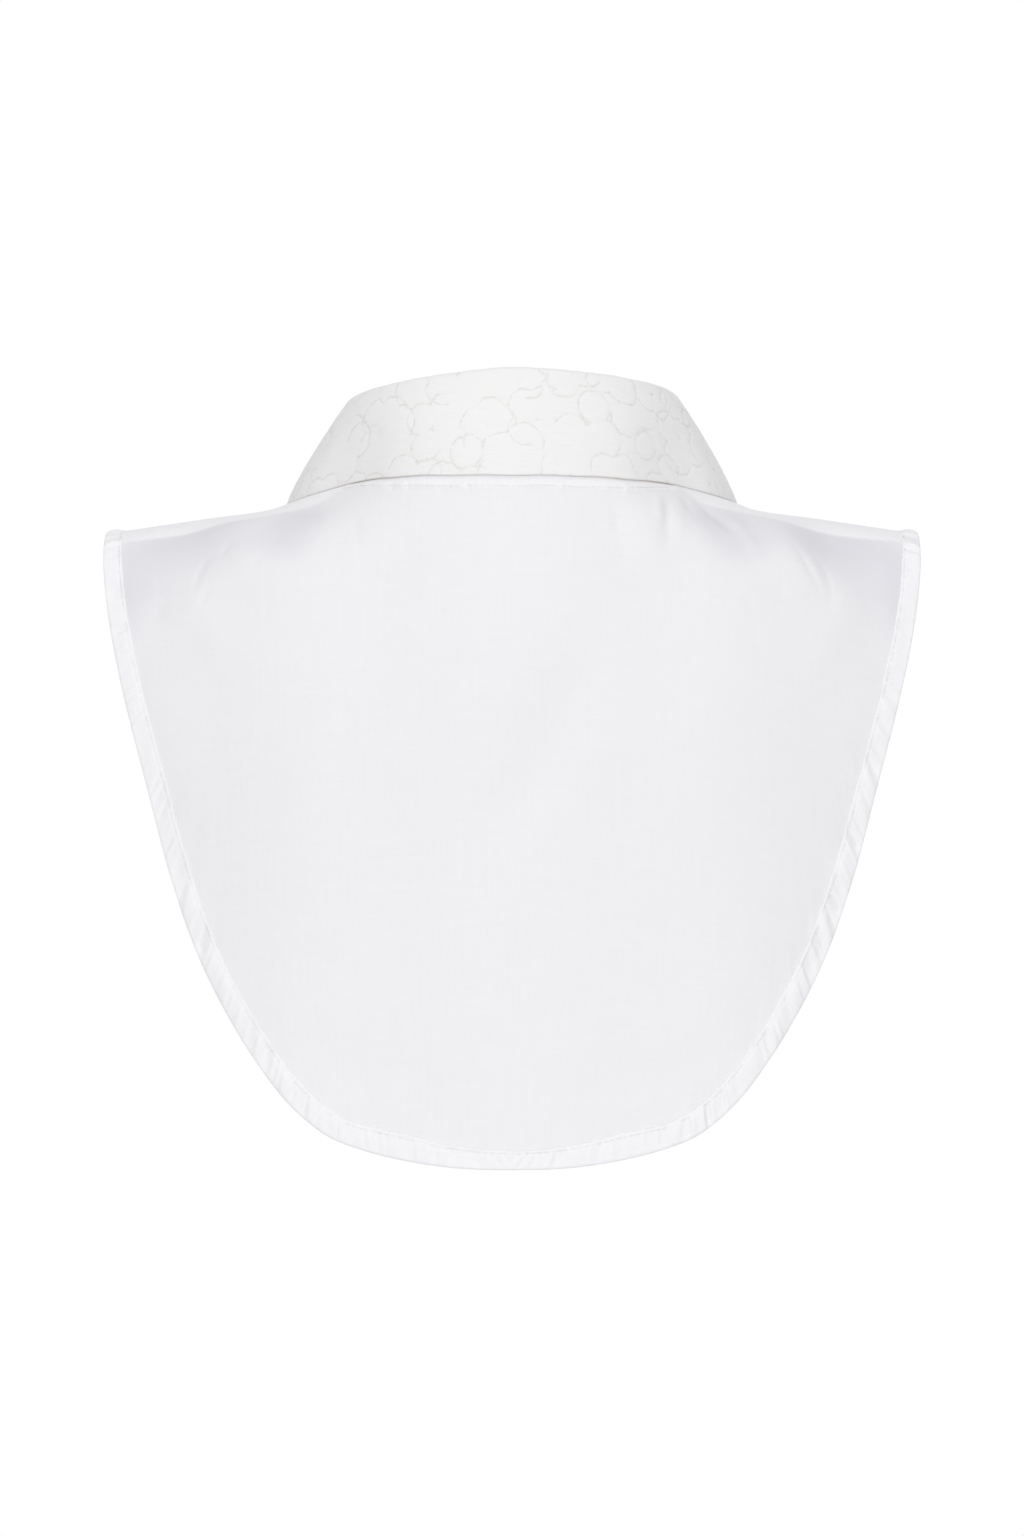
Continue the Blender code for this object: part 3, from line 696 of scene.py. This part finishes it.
def grain(points):
    """Where each point lies along the weft and the warp of a panel that hangs straight."""
    across, depth, height = points[..., 0], points[..., 1], points[..., 2]
    return np.stack([across, 0.6 * np.abs(depth) - height, 0.0 * across], -1)


HEM_SECTION = (
    [(8.2, 0.85), (8.28, 1.2), (8.15, 1.55), (7.85, 1.76), (7.45, 1.86)]
    + [(width, HEM_TOP) for width in np.arange(7.0, 0.7, -0.45)]
    + [(0.5, 1.82), (0.22, 1.55), (0.06, 1.1), (0.12, 0.65), (0.4, 0.25), (0.9, 0.1)]
    + [(width, 0.05) for width in np.arange(2.0, 7.6, 1.1)]
    + [(8.0, 0.2), (8.25, 0.5)]
)


def hem_band(name, edge, lift, side, material, whole, start):
    """The hem turned over the panel's edge, rounded at both folds and puckered by its stitching."""
    edge = even_steps(edge, int(curve_run(edge)[-1] / HEM_STEP))
    inward = inward_of(edge)
    section = np.array(HEM_SECTION)
    run = start + curve_run(edge)
    run = np.broadcast_to(run, (len(section), len(run)))
    inset = np.broadcast_to(section[:, :1], run.shape)
    flat = np.broadcast_to(section[:, 1:], run.shape)
    pucker = hem_pucker(run, inset, whole)
    top = ease((flat - 1.2) / 0.5)
    wobble = 0.22 * hash_noise(run, 11.0, SEED + 8) * ease((inset - 5.0) / 3.0)
    stitched = -0.3 * np.exp(-(((inset - HEM_STITCH_INSET) / 0.5) ** 2)) * top
    risen = flat + top * (HEM_PUCKER * pucker * pillow(inset / HEM_WIDTH)) + stitched
    places = edge[None] + (inset + wobble)[..., None] * inward[None]
    places[..., 1] = side * np.maximum(side * places[..., 1], 0.0)
    points, faces = band_loft(places, risen + lift(places[..., 0], places[..., 1]))
    if side < 0:
        faces = faces[:, ::-1]
    cut = np.stack([run, inset, 0.0 * run], -1).reshape(-1, 3)
    return new_piece(name, points, faces, material, "bib_cloth", cut=cut, layers=np.ones(len(points)))


def stitches(name, path, outwards, material, pitch, length, radius):
    """A row of sewn stitches along a path, each a short thread that dips into the cloth at both ends."""
    run = curve_run(path)
    count = int(run[-1] / pitch)
    sections, sides = 5, 5
    share = np.linspace(0.0, 1.0, sections)
    at = (np.arange(count)[:, None] + 0.5) * pitch + (share - 0.5) * length
    middle = np.stack([np.interp(at, run, path[:, axis]) for axis in range(3)], -1)
    out = np.stack([np.interp(at, run, outwards[:, axis]) for axis in range(3)], -1)
    out /= np.linalg.norm(out, axis=-1, keepdims=True)
    along = middle[:, -1:] - middle[:, :1]
    along = along / np.linalg.norm(along, axis=-1, keepdims=True)
    beside = np.cross(np.broadcast_to(along, out.shape), out)
    rise = radius * (1.5 * np.sin(pi * share) - 0.7)
    middle = middle + out * rise[None, :, None]
    width = radius * (0.55 + 0.45 * np.sin(pi * share))
    angle = 2.0 * pi * np.arange(sides) / sides
    cosine, sine = (turned[None, None, :, None] for turned in (np.cos(angle), np.sin(angle)))
    ring = out[:, :, None] * cosine + beside[:, :, None] * sine
    points = middle[:, :, None] + ring * width[None, :, None, None]
    block = np.arange(sections * sides).reshape(sections, sides)
    quads = np.array([
        (block[i, j], block[i, (j + 1) % sides], block[i + 1, (j + 1) % sides], block[i + 1, j])
        for i in range(sections - 1) for j in range(sides)
    ])
    faces = (np.arange(count)[:, None, None] * sections * sides + quads[None]).reshape(-1, 4)
    return new_piece(name, points.reshape(-1, 3), faces, material, "bib_cloth")


def stitch_on_cloth(
    name, places, lift, material, pitch=STITCH_PITCH, length=STITCH_LENGTH, radius=STITCH_RADIUS
):
    """Stitches along cut places on the bib, lifted onto what they sew."""
    across, down = places[:, 0], places[:, 1]
    path = cloth(across, down, lift)
    return stitches(name, path, figure_normal(across, down), material, pitch, length, radius)


# Materials

def add_node(tree, kind, **settings):
    node = tree.nodes.new(kind)
    for key, value in settings.items():
        setattr(node, key, value)
    return node


def math_node(tree, operation, first, second=0.0):
    node = add_node(tree, "ShaderNodeMath", operation=operation)
    for socket, value in zip(node.inputs, (first, second)):
        if isinstance(value, float):
            socket.default_value = value
        else:
            tree.links.new(value, socket)
    return node.outputs[0]


def noise(tree, vector, stretch, detail=2.0, roughness=0.5):
    """Noise over the cut, with so many cells a millimetre across, down and along."""
    mapping = add_node(tree, "ShaderNodeMapping")
    mapping.inputs["Scale"].default_value = stretch
    tree.links.new(vector, mapping.inputs["Vector"])
    made = add_node(tree, "ShaderNodeTexNoise")
    made.inputs["Scale"].default_value = 1.0
    made.inputs["Detail"].default_value = detail
    made.inputs["Roughness"].default_value = roughness
    tree.links.new(mapping.outputs[0], made.inputs["Vector"])
    return made.outputs["Fac"]


def ramp(tree, value, low, high, to_low=0.0, to_high=1.0):
    node = add_node(tree, "ShaderNodeMapRange", interpolation_type="SMOOTHSTEP")
    tree.links.new(value, node.inputs["Value"])
    for name, number in (("From Min", low), ("From Max", high), ("To Min", to_low), ("To Max", to_high)):
        node.inputs[name].default_value = number
    return node.outputs[0]


def mix_colour(tree, factor, first, second):
    node = add_node(tree, "ShaderNodeMix", data_type="RGBA", blend_type="MIX")
    tree.links.new(factor, node.inputs["Factor"])
    sockets = [socket for socket in node.inputs if socket.type == "RGBA"]
    for socket, value in zip(sockets, (first, second)):
        if isinstance(value, tuple):
            socket.default_value = (*value, 1.0)
        else:
            tree.links.new(value, socket)
    return [socket for socket in node.outputs if socket.type == "RGBA"][0]


def bump(tree, height, strength, distance, before=None):
    node = add_node(tree, "ShaderNodeBump")
    node.inputs["Strength"].default_value = strength
    node.inputs["Distance"].default_value = distance
    tree.links.new(height, node.inputs["Height"])
    if before is not None:
        tree.links.new(before, node.inputs["Normal"])
    return node.outputs[0]


def new_material(name, roughness, sheen=0.0, specular=0.3):
    material = bpy.data.materials.new(name)
    material.use_nodes = True
    shader = material.node_tree.nodes["Principled BSDF"]
    shader.inputs["Roughness"].default_value = roughness
    shader.inputs["Specular IOR Level"].default_value = specular
    shader.inputs["Sheen Weight"].default_value = sheen
    return material, material.node_tree, shader


def attribute(tree, name, output="Vector"):
    return add_node(tree, "ShaderNodeAttribute", attribute_name=name).outputs[output]


SINGLE_LAYER = (0.798, 0.796, 0.806)
DOUBLE_LAYER = (0.838, 0.837, 0.849)
SINGLE_SHADE = (0.786, 0.785, 0.797)
DOUBLE_SHADE = (0.820, 0.820, 0.833)
# The painted shade's colour, darker and more violet than the lit cloth.
PAINTED_SHADE_COLOUR = (0.688, 0.680, 0.710)


def cotton_material():
    """Plain white cotton lawn: lighter where it lies double, with threads, slubs and faint crumpling, and
    painted shade darkening the cloth below the shoulders, under the leaf's sides and down the sides.
    """
    material, tree, shader = new_material("bib_cotton", 0.86, sheen=0.08, specular=0.2)
    cut = attribute(tree, "cut")
    layers = attribute(tree, "layers", "Fac")
    warp = noise(tree, cut, (0.75, 0.03, 1.0), 3.0, 0.6)
    weft = noise(tree, cut, (0.03, 0.85, 1.0), 3.0, 0.6)
    streaks = ramp(tree, math_node(tree, "ADD", warp, weft), 0.75, 1.25)
    single = mix_colour(tree, streaks, SINGLE_SHADE, SINGLE_LAYER)
    double = mix_colour(tree, streaks, DOUBLE_SHADE, DOUBLE_LAYER)
    # Painted shade mixed into the single cloth's colour.
    single = mix_colour(tree, ramp(tree, attribute(tree, "thin", "Fac"), 0.0, 1.0), single, PAINTED_SHADE_COLOUR)
    tree.links.new(mix_colour(tree, layers, single, double), shader.inputs["Base Color"])
    threads = math_node(tree, "ADD", noise(tree, cut, (2.2, 0.35, 1.0)), noise(tree, cut, (0.35, 2.2, 1.0)))
    crumple = noise(tree, cut, (0.05, 0.045, 1.0), 3.0, 0.55)
    soft = bump(tree, crumple, 0.5, 0.0012)
    tree.links.new(bump(tree, threads, 0.25, 0.00008, soft), shader.inputs["Normal"])
    return material


LEAF_GROUND = (0.812, 0.809, 0.799)
LEAF_PETAL = (0.818, 0.817, 0.818)
LEAF_LINE = (0.62, 0.605, 0.545)
LEAF_SLUB = (0.775, 0.765, 0.738)
# Painted shadow: the brown-dark line along the leaf's lower edge, where it lies against the bib.
LEAF_PAINTED_EDGE_SHADOW = (0.46, 0.40, 0.29)


def leaf_material():
    """Ivory cloque: petals and rounds outlined by thin beige grooves over a slubbed ground, with a painted
    shadow line along its lower edge.
    """
    material, tree, shader = new_material("collar_cloque", 0.7, sheen=0.08, specular=0.22)
    cut = attribute(tree, "cut")
    motif = attribute(tree, "motif", "Fac")
    tone = attribute(tree, "tone", "Fac")
    worn = noise(tree, cut, (0.14, 0.17, 1.0), 3.0, 0.6)
    frayed = ramp(tree, noise(tree, cut, (0.55, 0.7, 1.0), 3.0, 0.65), 0.34, 0.6, 0.3, 1.0)
    line = math_node(tree, "MULTIPLY", ramp(tree, motif, 0.05, 0.7, 1.0, 0.0), ramp(tree, worn, 0.32, 0.52))
    line = math_node(tree, "MULTIPLY", line, frayed)
    slub = noise(tree, cut, (0.07, 1.1, 1.0), 3.0, 0.65)
    specks = ramp(tree, noise(tree, cut, (0.5, 1.7, 1.0), 2.0, 0.6), 0.56, 0.72)
    ground = mix_colour(tree, tone, LEAF_GROUND, LEAF_PETAL)
    slubbed = math_node(tree, "MULTIPLY", ramp(tree, slub, 0.5, 0.8), 0.7)
    ground = mix_colour(tree, slubbed, ground, LEAF_SLUB)
    ground = mix_colour(tree, math_node(tree, "MULTIPLY", specks, 0.14), ground, LEAF_LINE)
    colour = mix_colour(tree, math_node(tree, "MULTIPLY", line, 0.52), ground, LEAF_LINE)
    # Painted shadow along the leaf's lower edge.
    brim = attribute(tree, "brim", "Fac")
    colour = mix_colour(tree, math_node(tree, "MULTIPLY", brim, 0.45), colour, LEAF_PAINTED_EDGE_SHADOW)
    tree.links.new(colour, shader.inputs["Base Color"])
    relief = math_node(tree, "SUBTRACT", math_node(tree, "MULTIPLY", slub, 0.35), line)
    tree.links.new(bump(tree, relief, 0.5, 0.0003), shader.inputs["Normal"])
    return material


def plain_material(name, light, dark, roughness, scale, specular=0.3, depth=0.0001):
    """A plain finish with fine streaks, from the piece's own coordinates."""
    material, tree, shader = new_material(name, roughness, sheen=0.05, specular=specular)
    place = add_node(tree, "ShaderNodeTexCoord").outputs["Object"]
    streaks = noise(tree, place, scale, 3.0, 0.6)
    colour = mix_colour(tree, ramp(tree, streaks, 0.3, 0.7), dark, light)
    tree.links.new(colour, shader.inputs["Base Color"])
    tree.links.new(bump(tree, streaks, 0.4, depth), shader.inputs["Normal"])
    return material


def pearl_material():
    """Shell button: cloudy bands under a clear gloss."""
    material, tree, shader = new_material("pearl_shell", 0.22, specular=0.55)
    shader.inputs["Coat Weight"].default_value = 0.4
    shader.inputs["Coat Roughness"].default_value = 0.1
    place = add_node(tree, "ShaderNodeTexCoord").outputs["Object"]
    bands = noise(tree, place, (260.0, 90.0, 420.0), 4.0, 0.6)
    cream = mix_colour(tree, ramp(tree, bands, 0.35, 0.65), (0.80, 0.78, 0.74), (0.88, 0.885, 0.87))
    flecks = noise(tree, place, (700.0, 500.0, 900.0), 2.0, 0.5)
    colour = mix_colour(tree, ramp(tree, flecks, 0.62, 0.75), cream, (0.90, 0.86, 0.87))
    tree.links.new(colour, shader.inputs["Base Color"])
    tree.links.new(bump(tree, bands, 0.15, 0.0001), shader.inputs["Normal"])
    return material


# The studio

def add_camera():
    data = bpy.data.cameras.new("camera")
    data.sensor_fit = "HORIZONTAL"
    data.sensor_width = SENSOR
    data.lens = SENSOR * VIEW_DEPTH / VIEW_WIDTH
    data.clip_end = 60.0
    camera = bpy.data.objects.new("camera", data)
    camera.location = CAMERA_PLACE
    camera.rotation_euler = (pi / 2, 0.0, pi)
    bpy.context.scene.collection.objects.link(camera)
    bpy.context.scene.camera = camera


def add_light(name, place, target, size, power):
    data = bpy.data.lights.new(name, "AREA")
    data.shape = "RECTANGLE"
    data.size, data.size_y = size
    data.energy = power
    light = bpy.data.objects.new(name, data)
    light.location = place
    light.rotation_euler = (Vector(target) - Vector(place)).to_track_quat("-Z", "Y").to_euler()
    bpy.context.scene.collection.objects.link(light)


def stage_plane(name, corners, colour, emission):
    mesh = bpy.data.meshes.new(name)
    mesh.from_pydata(corners, [], [(0, 1, 2, 3)])
    made = bpy.data.objects.new(name, mesh)
    bpy.context.scene.collection.objects.link(made)
    material, tree, shader = new_material(name, 0.9, specular=0.0)
    shader.inputs["Base Color"].default_value = (*colour, 1.0)
    shader.inputs["Emission Color"].default_value = (1.0, 1.0, 1.0, 1.0)
    shader.inputs["Emission Strength"].default_value = emission
    mesh.materials.append(material)


def add_studio():
    world = bpy.data.worlds.new("studio")
    bpy.context.scene.world = world
    world.use_nodes = True
    world.node_tree.nodes["Background"].inputs["Color"].default_value = (0.985, 0.98, 1.0, 1.0)
    world.node_tree.nodes["Background"].inputs["Strength"].default_value = 0.70
    bib_middle = (0.0, 0.0, -0.12)
    add_light("front_softbox", (0.5, 3.4, 0.9), bib_middle, (2.6, 2.2), 31.0)
    add_light("low_fill", (-0.25, 2.0, -0.85), bib_middle, (2.8, 1.0), 11.5)
    add_light("top_softbox", (0.0, 0.6, 3.2), (0.0, 0.0, 0.0), (2.6, 2.6), 21.5)
    add_light("far_softbox", (-0.7, -3.4, 0.8), bib_middle, (2.2, 2.2), 12.0)
    add_light("far_low_fill", (0.1, -2.0, -0.85), bib_middle, (2.8, 1.0), 6.0)
    corners = ((-1.0, -1.0), (1.0, -1.0), (1.0, 1.0), (-1.0, 1.0))
    floor = [(8.0 * x, 8.0 * y, FLOOR_HEIGHT) for x, y in corners]
    stage_plane("floor", floor, (0.7, 0.7, 0.7), 0.0)
    screen = [(0.95 * x, -7.0, FLOOR_HEIGHT if y < 0.0 else 1.1) for x, y in corners]
    stage_plane("screen", screen, (0.0, 0.0, 0.0), 1.0)
    bpy.context.scene.view_settings.view_transform = "Standard"


# Pieces

def add_back(cotton, thread):
    columns = 470
    neck = neck_curve(np.linspace(-pi / 2, pi / 2, columns), 1)
    edge = even_steps(edge_curve(1), columns)
    rows = row_shares(186)
    back = bib_panel("back_cloth", "back_panel", neck, edge, rows, no_lift, BACK_CREASES, 1, cotton)
    fine = edge_curve(1)
    whole = curve_run(fine)[-1]
    hem = hem_band("back_hem", fine, no_lift, 1, cotton, whole, 0.0)
    line = fine + HEM_STITCH_INSET * inward_of(fine)
    line = line[line[:, 1] > 1.0]
    sewn = stitch_on_cloth("back_hem_stitches", line, HEM_TOP - STITCH_SINK, thread)
    across = np.linspace(-74.0, 74.0, 400)
    band = np.stack([across, leaf_edge_down(across) + BAND_WIDTH - 0.6], -1)
    band_lift = drawn_to_leaf(band[:, 0], band[:, 1], CLOTH_LIFT, BAND_RISE) + BAND_RISE + 0.05
    neck_sewn = stitch_on_cloth("neck_stitches", band, band_lift, thread, 2.7, 2.0, 0.17)


def add_front(side_sign, lift, cotton, thread):
    name = "front_left" if side_sign > 0 else "front_right"
    columns = 300
    neck, edge = front_outline(side_sign, columns)
    if side_sign < 0:
        neck, edge = neck[::-1], edge[::-1]
    front = bib_panel(name + "_cloth", name, neck, edge, row_shares(150), lift, FRONT_CREASES, -1, cotton)
    _, fine = front_outline(side_sign, EDGE_POINTS)
    if side_sign < 0:
        fine = fine[::-1]
    length = curve_run(fine)[-1]
    whole = 2.0 * length
    hem = hem_band(name + "_hem", fine, lift, -1, cotton, whole, 0.0 if side_sign > 0 else length)
    line = fine + HEM_STITCH_INSET * inward_of(fine)
    line = line[line[:, 1] < -1.0]
    lifted = HEM_TOP - STITCH_SINK + lift(line[:, 0], line[:, 1])
    sewn = stitch_on_cloth(name + "_hem_stitches", line, lifted, thread)


def add_placket(cotton, thread):
    """The strip down the edge of the wearer's right front, sewn along both sides."""
    rows = 320
    half = LAP_HALF_WIDTH
    top_lift, low_lift = WALL - 0.1, 0.0
    section = (
        [(-half, 0.55), (-half + 0.12, 0.85), (-half + 0.4, 1.03)]
        + [(across, top_lift) for across in np.linspace(-half + 0.9, half - 0.9, 29)]
        + [(half - 0.4, 1.03), (half - 0.12, 0.85), (half, 0.55), (half - 0.2, 0.15)]
        + [(half - 0.8, low_lift)]
        + [(across, low_lift) for across in np.linspace(half - 4.0, -half + 4.0, 5)]
        + [(-half + 0.8, low_lift), (-half + 0.2, 0.15)]
    )
    section = np.array(section)
    across = np.broadcast_to(section[:, :1], (len(section), rows))
    start = neck_down(across, -1) - SEAM_GAP
    bottom = np.interp(across, FRONT_BOTTOM[:, 0], FRONT_BOTTOM[:, 1])
    down = start + (bottom - start) * np.linspace(0.0, 1.0, rows)[None]
    flat = np.broadcast_to(section[:, 1:], across.shape)
    beside = half - np.abs(across)
    stitched = -0.22 * np.exp(-(((beside - PLACKET_STITCH_INSET) / 0.5) ** 2))
    pucker = 0.1 * hash_noise(down, 3.1, SEED + 9) * np.exp(-(((beside - PLACKET_STITCH_INSET) / 2.0) ** 2))
    lift = PLACKET_LIFT + 2.0 * hem_step(across, down) + flat
    lift = lift + (stitched + pucker) * ease((flat - 0.8) / 0.3)
    points, faces = band_loft(np.stack([across, down], -1), lift)
    cut = np.stack([across, down, 0.0 * across], -1).reshape(-1, 3)
    strip = new_piece(
        "placket_cloth", points, faces[:, ::-1], cotton, "bib_cloth", cut=cut, layers=np.ones(len(points))
    )
    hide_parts("front_placket")
    for side, name in ((-1.0, "placket_stitches_right"), (1.0, "placket_stitches_left")):
        x = np.full(400, side * (half - PLACKET_STITCH_INSET))
        line_start = neck_down(x, -1) - 2.0
        line_end = np.interp(x, FRONT_BOTTOM[:, 0], FRONT_BOTTOM[:, 1]) + 2.0
        y = line_start + (line_end - line_start) * np.linspace(0.0, 1.0, 400)
        lifted = PLACKET_LIFT + 2.0 * hem_step(x, y) + top_lift - 0.12
        stitch_on_cloth(name, np.stack([x, y], -1), lifted, thread)


def add_stand(material):
    end = 180.0 + STAND_LAP_TURN
    turns = np.linspace(-end, end, 330)
    middle_rises = np.linspace(0.08, 0.92, 18)
    rises = np.concatenate([[0.0, 0.005, 0.018, 0.04], middle_rises, [0.96, 0.982, 0.995, 1.0]])[::-1]
    middle = np.empty((len(rises), len(turns), 3))
    for column, turn in enumerate(turns):
        bottom, top, outwards = (np.array(v) for v in ring_frame(turn))
        shares = rises[:, None]
        middle[:, column] = bottom + (top - bottom) * shares - outwards * STAND_HOLLOW * np.sin(pi * shares)
    points, faces = thick_sheet(middle, COLLAR_WALL / 2.0, COLLAR_WALL / 2.0)
    run = grid_run(middle, 1)
    cut = np.stack([run, STAND_CUT_HEIGHT * rises[:, None] + 0.0 * run, 0.0 * run], -1)
    stand = new_piece(
        "stand_cloth", points, faces, material, "collar_cloth",
        cut=both_sides(cut), layers=np.ones(len(points)),
    )
    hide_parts("collar_stand")


MOTIF_CELL = (24.0, 22.0)
MOTIF_ROWS = range(-1, 7)
MOTIF_COLUMNS = range(-15, 16)
MOTIF_SIZES = (5.4, 8.4)
MOTIF_WARP = 0.5
LEAF_PUFF = 0.16
LEAF_BLISTER = 0.05
# How wide the painted shadow along the leaf's lower edge is, in millimetres.
PAINTED_EDGE_SHADOW_WIDTH = 0.28


def motif_distance(along, down):
    """The distance to the nearest petal outline, and a tone for what it encloses. The layout is seeded."""
    source = np.random.default_rng(SEED)
    nearest = np.full(along.shape, 20.0)
    tone = np.zeros(along.shape)
    for row in MOTIF_ROWS:
        for column in MOTIF_COLUMNS:
            middle_along = (column + 0.5 * (row % 2)) * MOTIF_CELL[0] + source.uniform(-4.0, 4.0)
            middle_down = row * MOTIF_CELL[1] + 6.0 + source.uniform(-4.0, 4.0)
            petals = int(source.integers(3, 6))
            size = source.uniform(*MOTIF_SIZES)
            turn = source.uniform(0.0, 2.0 * pi)
            shade = source.uniform(0.2, 1.0)
            opened = source.uniform(0.0, 2.0 * pi)
            near = np.hypot(along - middle_along, down - middle_down) < 3.2 * size
            if not near.any():
                continue
            x = along[near] - middle_along
            y = down[near] - middle_down
            union = np.full(x.shape, 50.0)
            for petal in range(petals):
                angle = turn + 2.0 * pi * petal / petals + source.uniform(-0.15, 0.15)
                radius = size * source.uniform(0.85, 1.1)
                centre = size * source.uniform(0.95, 1.2)
                outside = np.hypot(x - centre * cos(angle), y - centre * sin(angle)) - radius
                union = np.minimum(union, outside)
            gap = 1.6 * ease((np.cos(np.arctan2(y, x) - opened) - 0.2) / 0.5)
            nearest[near] = np.minimum(nearest[near], np.abs(union) + gap)
            tone[near] = np.maximum(tone[near], shade * ease(-union / 1.2))
    return nearest, tone


def add_leaf(material):
    turns = np.concatenate([
        [-LEAF_END_TURN, -LEAF_END_TURN + 0.12, -LEAF_END_TURN + 0.35],
        np.linspace(-LEAF_END_TURN + 0.8, LEAF_END_TURN - 0.8, 486),
        [LEAF_END_TURN - 0.35, LEAF_END_TURN - 0.12, LEAF_END_TURN],
    ])
    falls = np.concatenate([np.linspace(0.0, 0.975, 82)[1:], [0.985, 0.992, 0.997, 1.0]])
    middle = np.stack([leaf_section(turn, 12, falls) for turn in turns], 1)
    down = grid_run(middle, 0)
    halfway = middle[len(middle) // 2]
    along = curve_run(halfway)
    along = np.broadcast_to(along - along[-1] / 2.0, down.shape)
    sideways = hash_noise(0.6 * along + down, 2.9, SEED + 12) + hash_noise(down, 6.3, SEED + 13)
    downwards = hash_noise(along - 0.7 * down, 2.6, SEED + 14) + hash_noise(along, 5.7, SEED + 15)
    nearest, tone = motif_distance(along + MOTIF_WARP * sideways, down + MOTIF_WARP * downwards)
    from_edge = down[-1:] - down
    # Painted shadow: strongest at the leaf's lower edge, gone within a millimetre.
    brim = np.exp(-((from_edge / PAINTED_EDGE_SHADOW_WIDTH) ** 2))
    puffed = LEAF_PUFF * ease(nearest / 2.0) * (0.6 + 0.4 * ease(tone / 0.3))
    blister = LEAF_BLISTER * hash_noise(along * 0.7 + down * 1.9, 3.0, SEED + 11)
    relief = (puffed + blister) * ease(down / 3.0) * ease(from_edge / 2.0)
    points, faces = thick_sheet(middle, LEAF_HALF, LEAF_HALF, relief)
    cut = np.stack([along, down, 0.0 * down], -1)
    leaf = new_piece(
        "leaf_cloth", points, faces, material, "collar_cloth",
        cut=both_sides(cut), motif=both_sides(nearest),
        tone=both_sides(tone), brim=both_sides(brim),
    )
    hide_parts("collar_leaf")


def button_frames():
    """Each button's place on its cloth, its facing and its upward direction."""
    bottom, top, outwards = ring_frame(-180.0)
    place = stand_point(-180.0, COLLAR_BUTTON_RISE) + outwards * (COLLAR_WALL / 2.0 + BUTTON_GAP)
    facing = (top - bottom).cross(Vector((-1.0, 0.0, 0.0))).normalized()
    if facing.dot(outwards) < 0:
        facing = -facing
    found = [("button_collar", place, facing)]
    for number, drop in enumerate(BUTTON_DROPS, 1):
        place = Vector(cloth(np.array(0.0), np.array(-drop), PLACKET_LIFT + WALL + BUTTON_GAP))
        found.append((f"button_{number}", place, Vector(figure_normal(np.array(0.0), np.array(-drop)))))
    return found


def add_button_sewing(thread):
    """Thread crossed over each button's holes, wound under it as a short shank, and a worked buttonhole."""
    for name, place, facing in button_frames():
        turned = facing.to_track_quat("Z", "Y").to_matrix()
        side, up = np.array(turned.col[0]), np.array(turned.col[1])
        out = np.array(facing)
        base = np.array(place)
        floor = BUTTON_HEIGHT - BUTTON_DISH
        reach = BUTTON_HOLE_OFFSET * cos(pi / 4)
        points, faces = [], []
        for sign in (-1.0, 1.0):
            for number in range(4):
                shift = (number - 1.5) * 0.2
                path = []
                for share in np.linspace(-1.25, 1.25, 13):
                    arched = 0.28 * max(0.0, 1.0 - abs(share) ** 4)
                    sunk = 1.6 * max(0.0, abs(share) - 1.0) ** 0.5
                    height = floor + arched - sunk
                    place_up = sign * share * reach + shift * 0.5
                    path.append(base + side * (share * reach) + up * place_up
                                + side * (-sign * shift * 0.5) + out * height)
                add_tube(np.array(path), 0.17, points, faces)
        shank = [base + out * height for height in (-BUTTON_GAP, 0.1, 0.5)]
        add_tube(np.array(shank), 1.1, points, faces)
        new_piece(name + "_thread", np.concatenate(points), np.concatenate(faces), thread, "bib_cloth")
        add_buttonhole(name, base, facing, thread)


def add_tube(path, radius, points, faces, sides=8):
    """Adds an open tube along a path to a list of points and faces."""
    tangent = np.gradient(path, axis=0)
    tangent /= np.linalg.norm(tangent, axis=1)[:, None]
    helper = np.array([0.3, 0.5, 0.81])
    beside = np.cross(tangent, helper)
    beside /= np.linalg.norm(beside, axis=1)[:, None]
    over = np.cross(tangent, beside)
    angle = 2.0 * pi * np.arange(sides) / sides
    ring = beside[:, None] * np.cos(angle)[None, :, None] + over[:, None] * np.sin(angle)[None, :, None]
    start = sum(len(p) for p in points)
    points.append((path[:, None] + radius * ring).reshape(-1, 3))
    block = np.arange(len(path) * sides).reshape(len(path), sides)
    following = np.roll(block, -1, axis=1)
    quads = np.stack([block[:-1], following[:-1], following[1:], block[1:]], -1).reshape(-1, 4)
    faces.append(start + quads)


def add_buttonhole(name, base, facing, thread):
    """Close satin stitches round the slit that the button passes through."""
    out = np.array(facing)
    on_collar = name == "button_collar"
    down = np.array([1.0, 0.0, 0.0]) if on_collar else np.array([0.0, 0.0, -1.0])
    down = down - out * down.dot(out)
    down /= np.linalg.norm(down)
    beside = np.cross(out, down)
    half = 8.0
    foot = base - out * (BUTTON_GAP + 0.12)
    satin = []
    for sign in (-1.0, 1.0):
        for at in np.arange(-half, half, 0.42):
            start = foot + down * at + beside * sign * 0.25
            satin.append((start, start + beside * sign * 1.1 + down * 0.12))
    for sign in (-1.0, 1.0):
        for at in np.linspace(-1.3, 1.3, 7):
            start = foot + down * sign * (half - 0.6) + beside * at
            satin.append((start, start + down * sign * 1.3))
    points, faces = [], []
    for start, end in satin:
        middle = (start + end) / 2.0 + out * 0.14
        add_tube(np.array([start, middle, end]), 0.19, points, faces, 6)
    new_piece(name + "_buttonhole", np.concatenate(points), np.concatenate(faces), thread, "bib_cloth")


def dress_buttons(material):
    for name, _, _ in button_frames():
        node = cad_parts[name]
        node.data.materials.clear()
        node.data.materials.append(material)


add_camera()
add_studio()
cotton = cotton_material()
thread = plain_material(
    "sewing_thread", (0.86, 0.865, 0.88), (0.78, 0.785, 0.80), 0.75, (900.0, 900.0, 2600.0)
)
stand_cotton = plain_material(
    "stand_cotton", (0.85, 0.845, 0.825), (0.81, 0.80, 0.775), 0.8, (120.0, 120.0, 1900.0)
)
add_back(cotton, thread)
add_front(1, no_lift, cotton, thread)
add_front(-1, lap_lift, cotton, thread)
add_placket(cotton, thread)
add_stand(stand_cotton)
add_leaf(leaf_material())
add_button_sewing(thread)
dress_buttons(pearl_material())
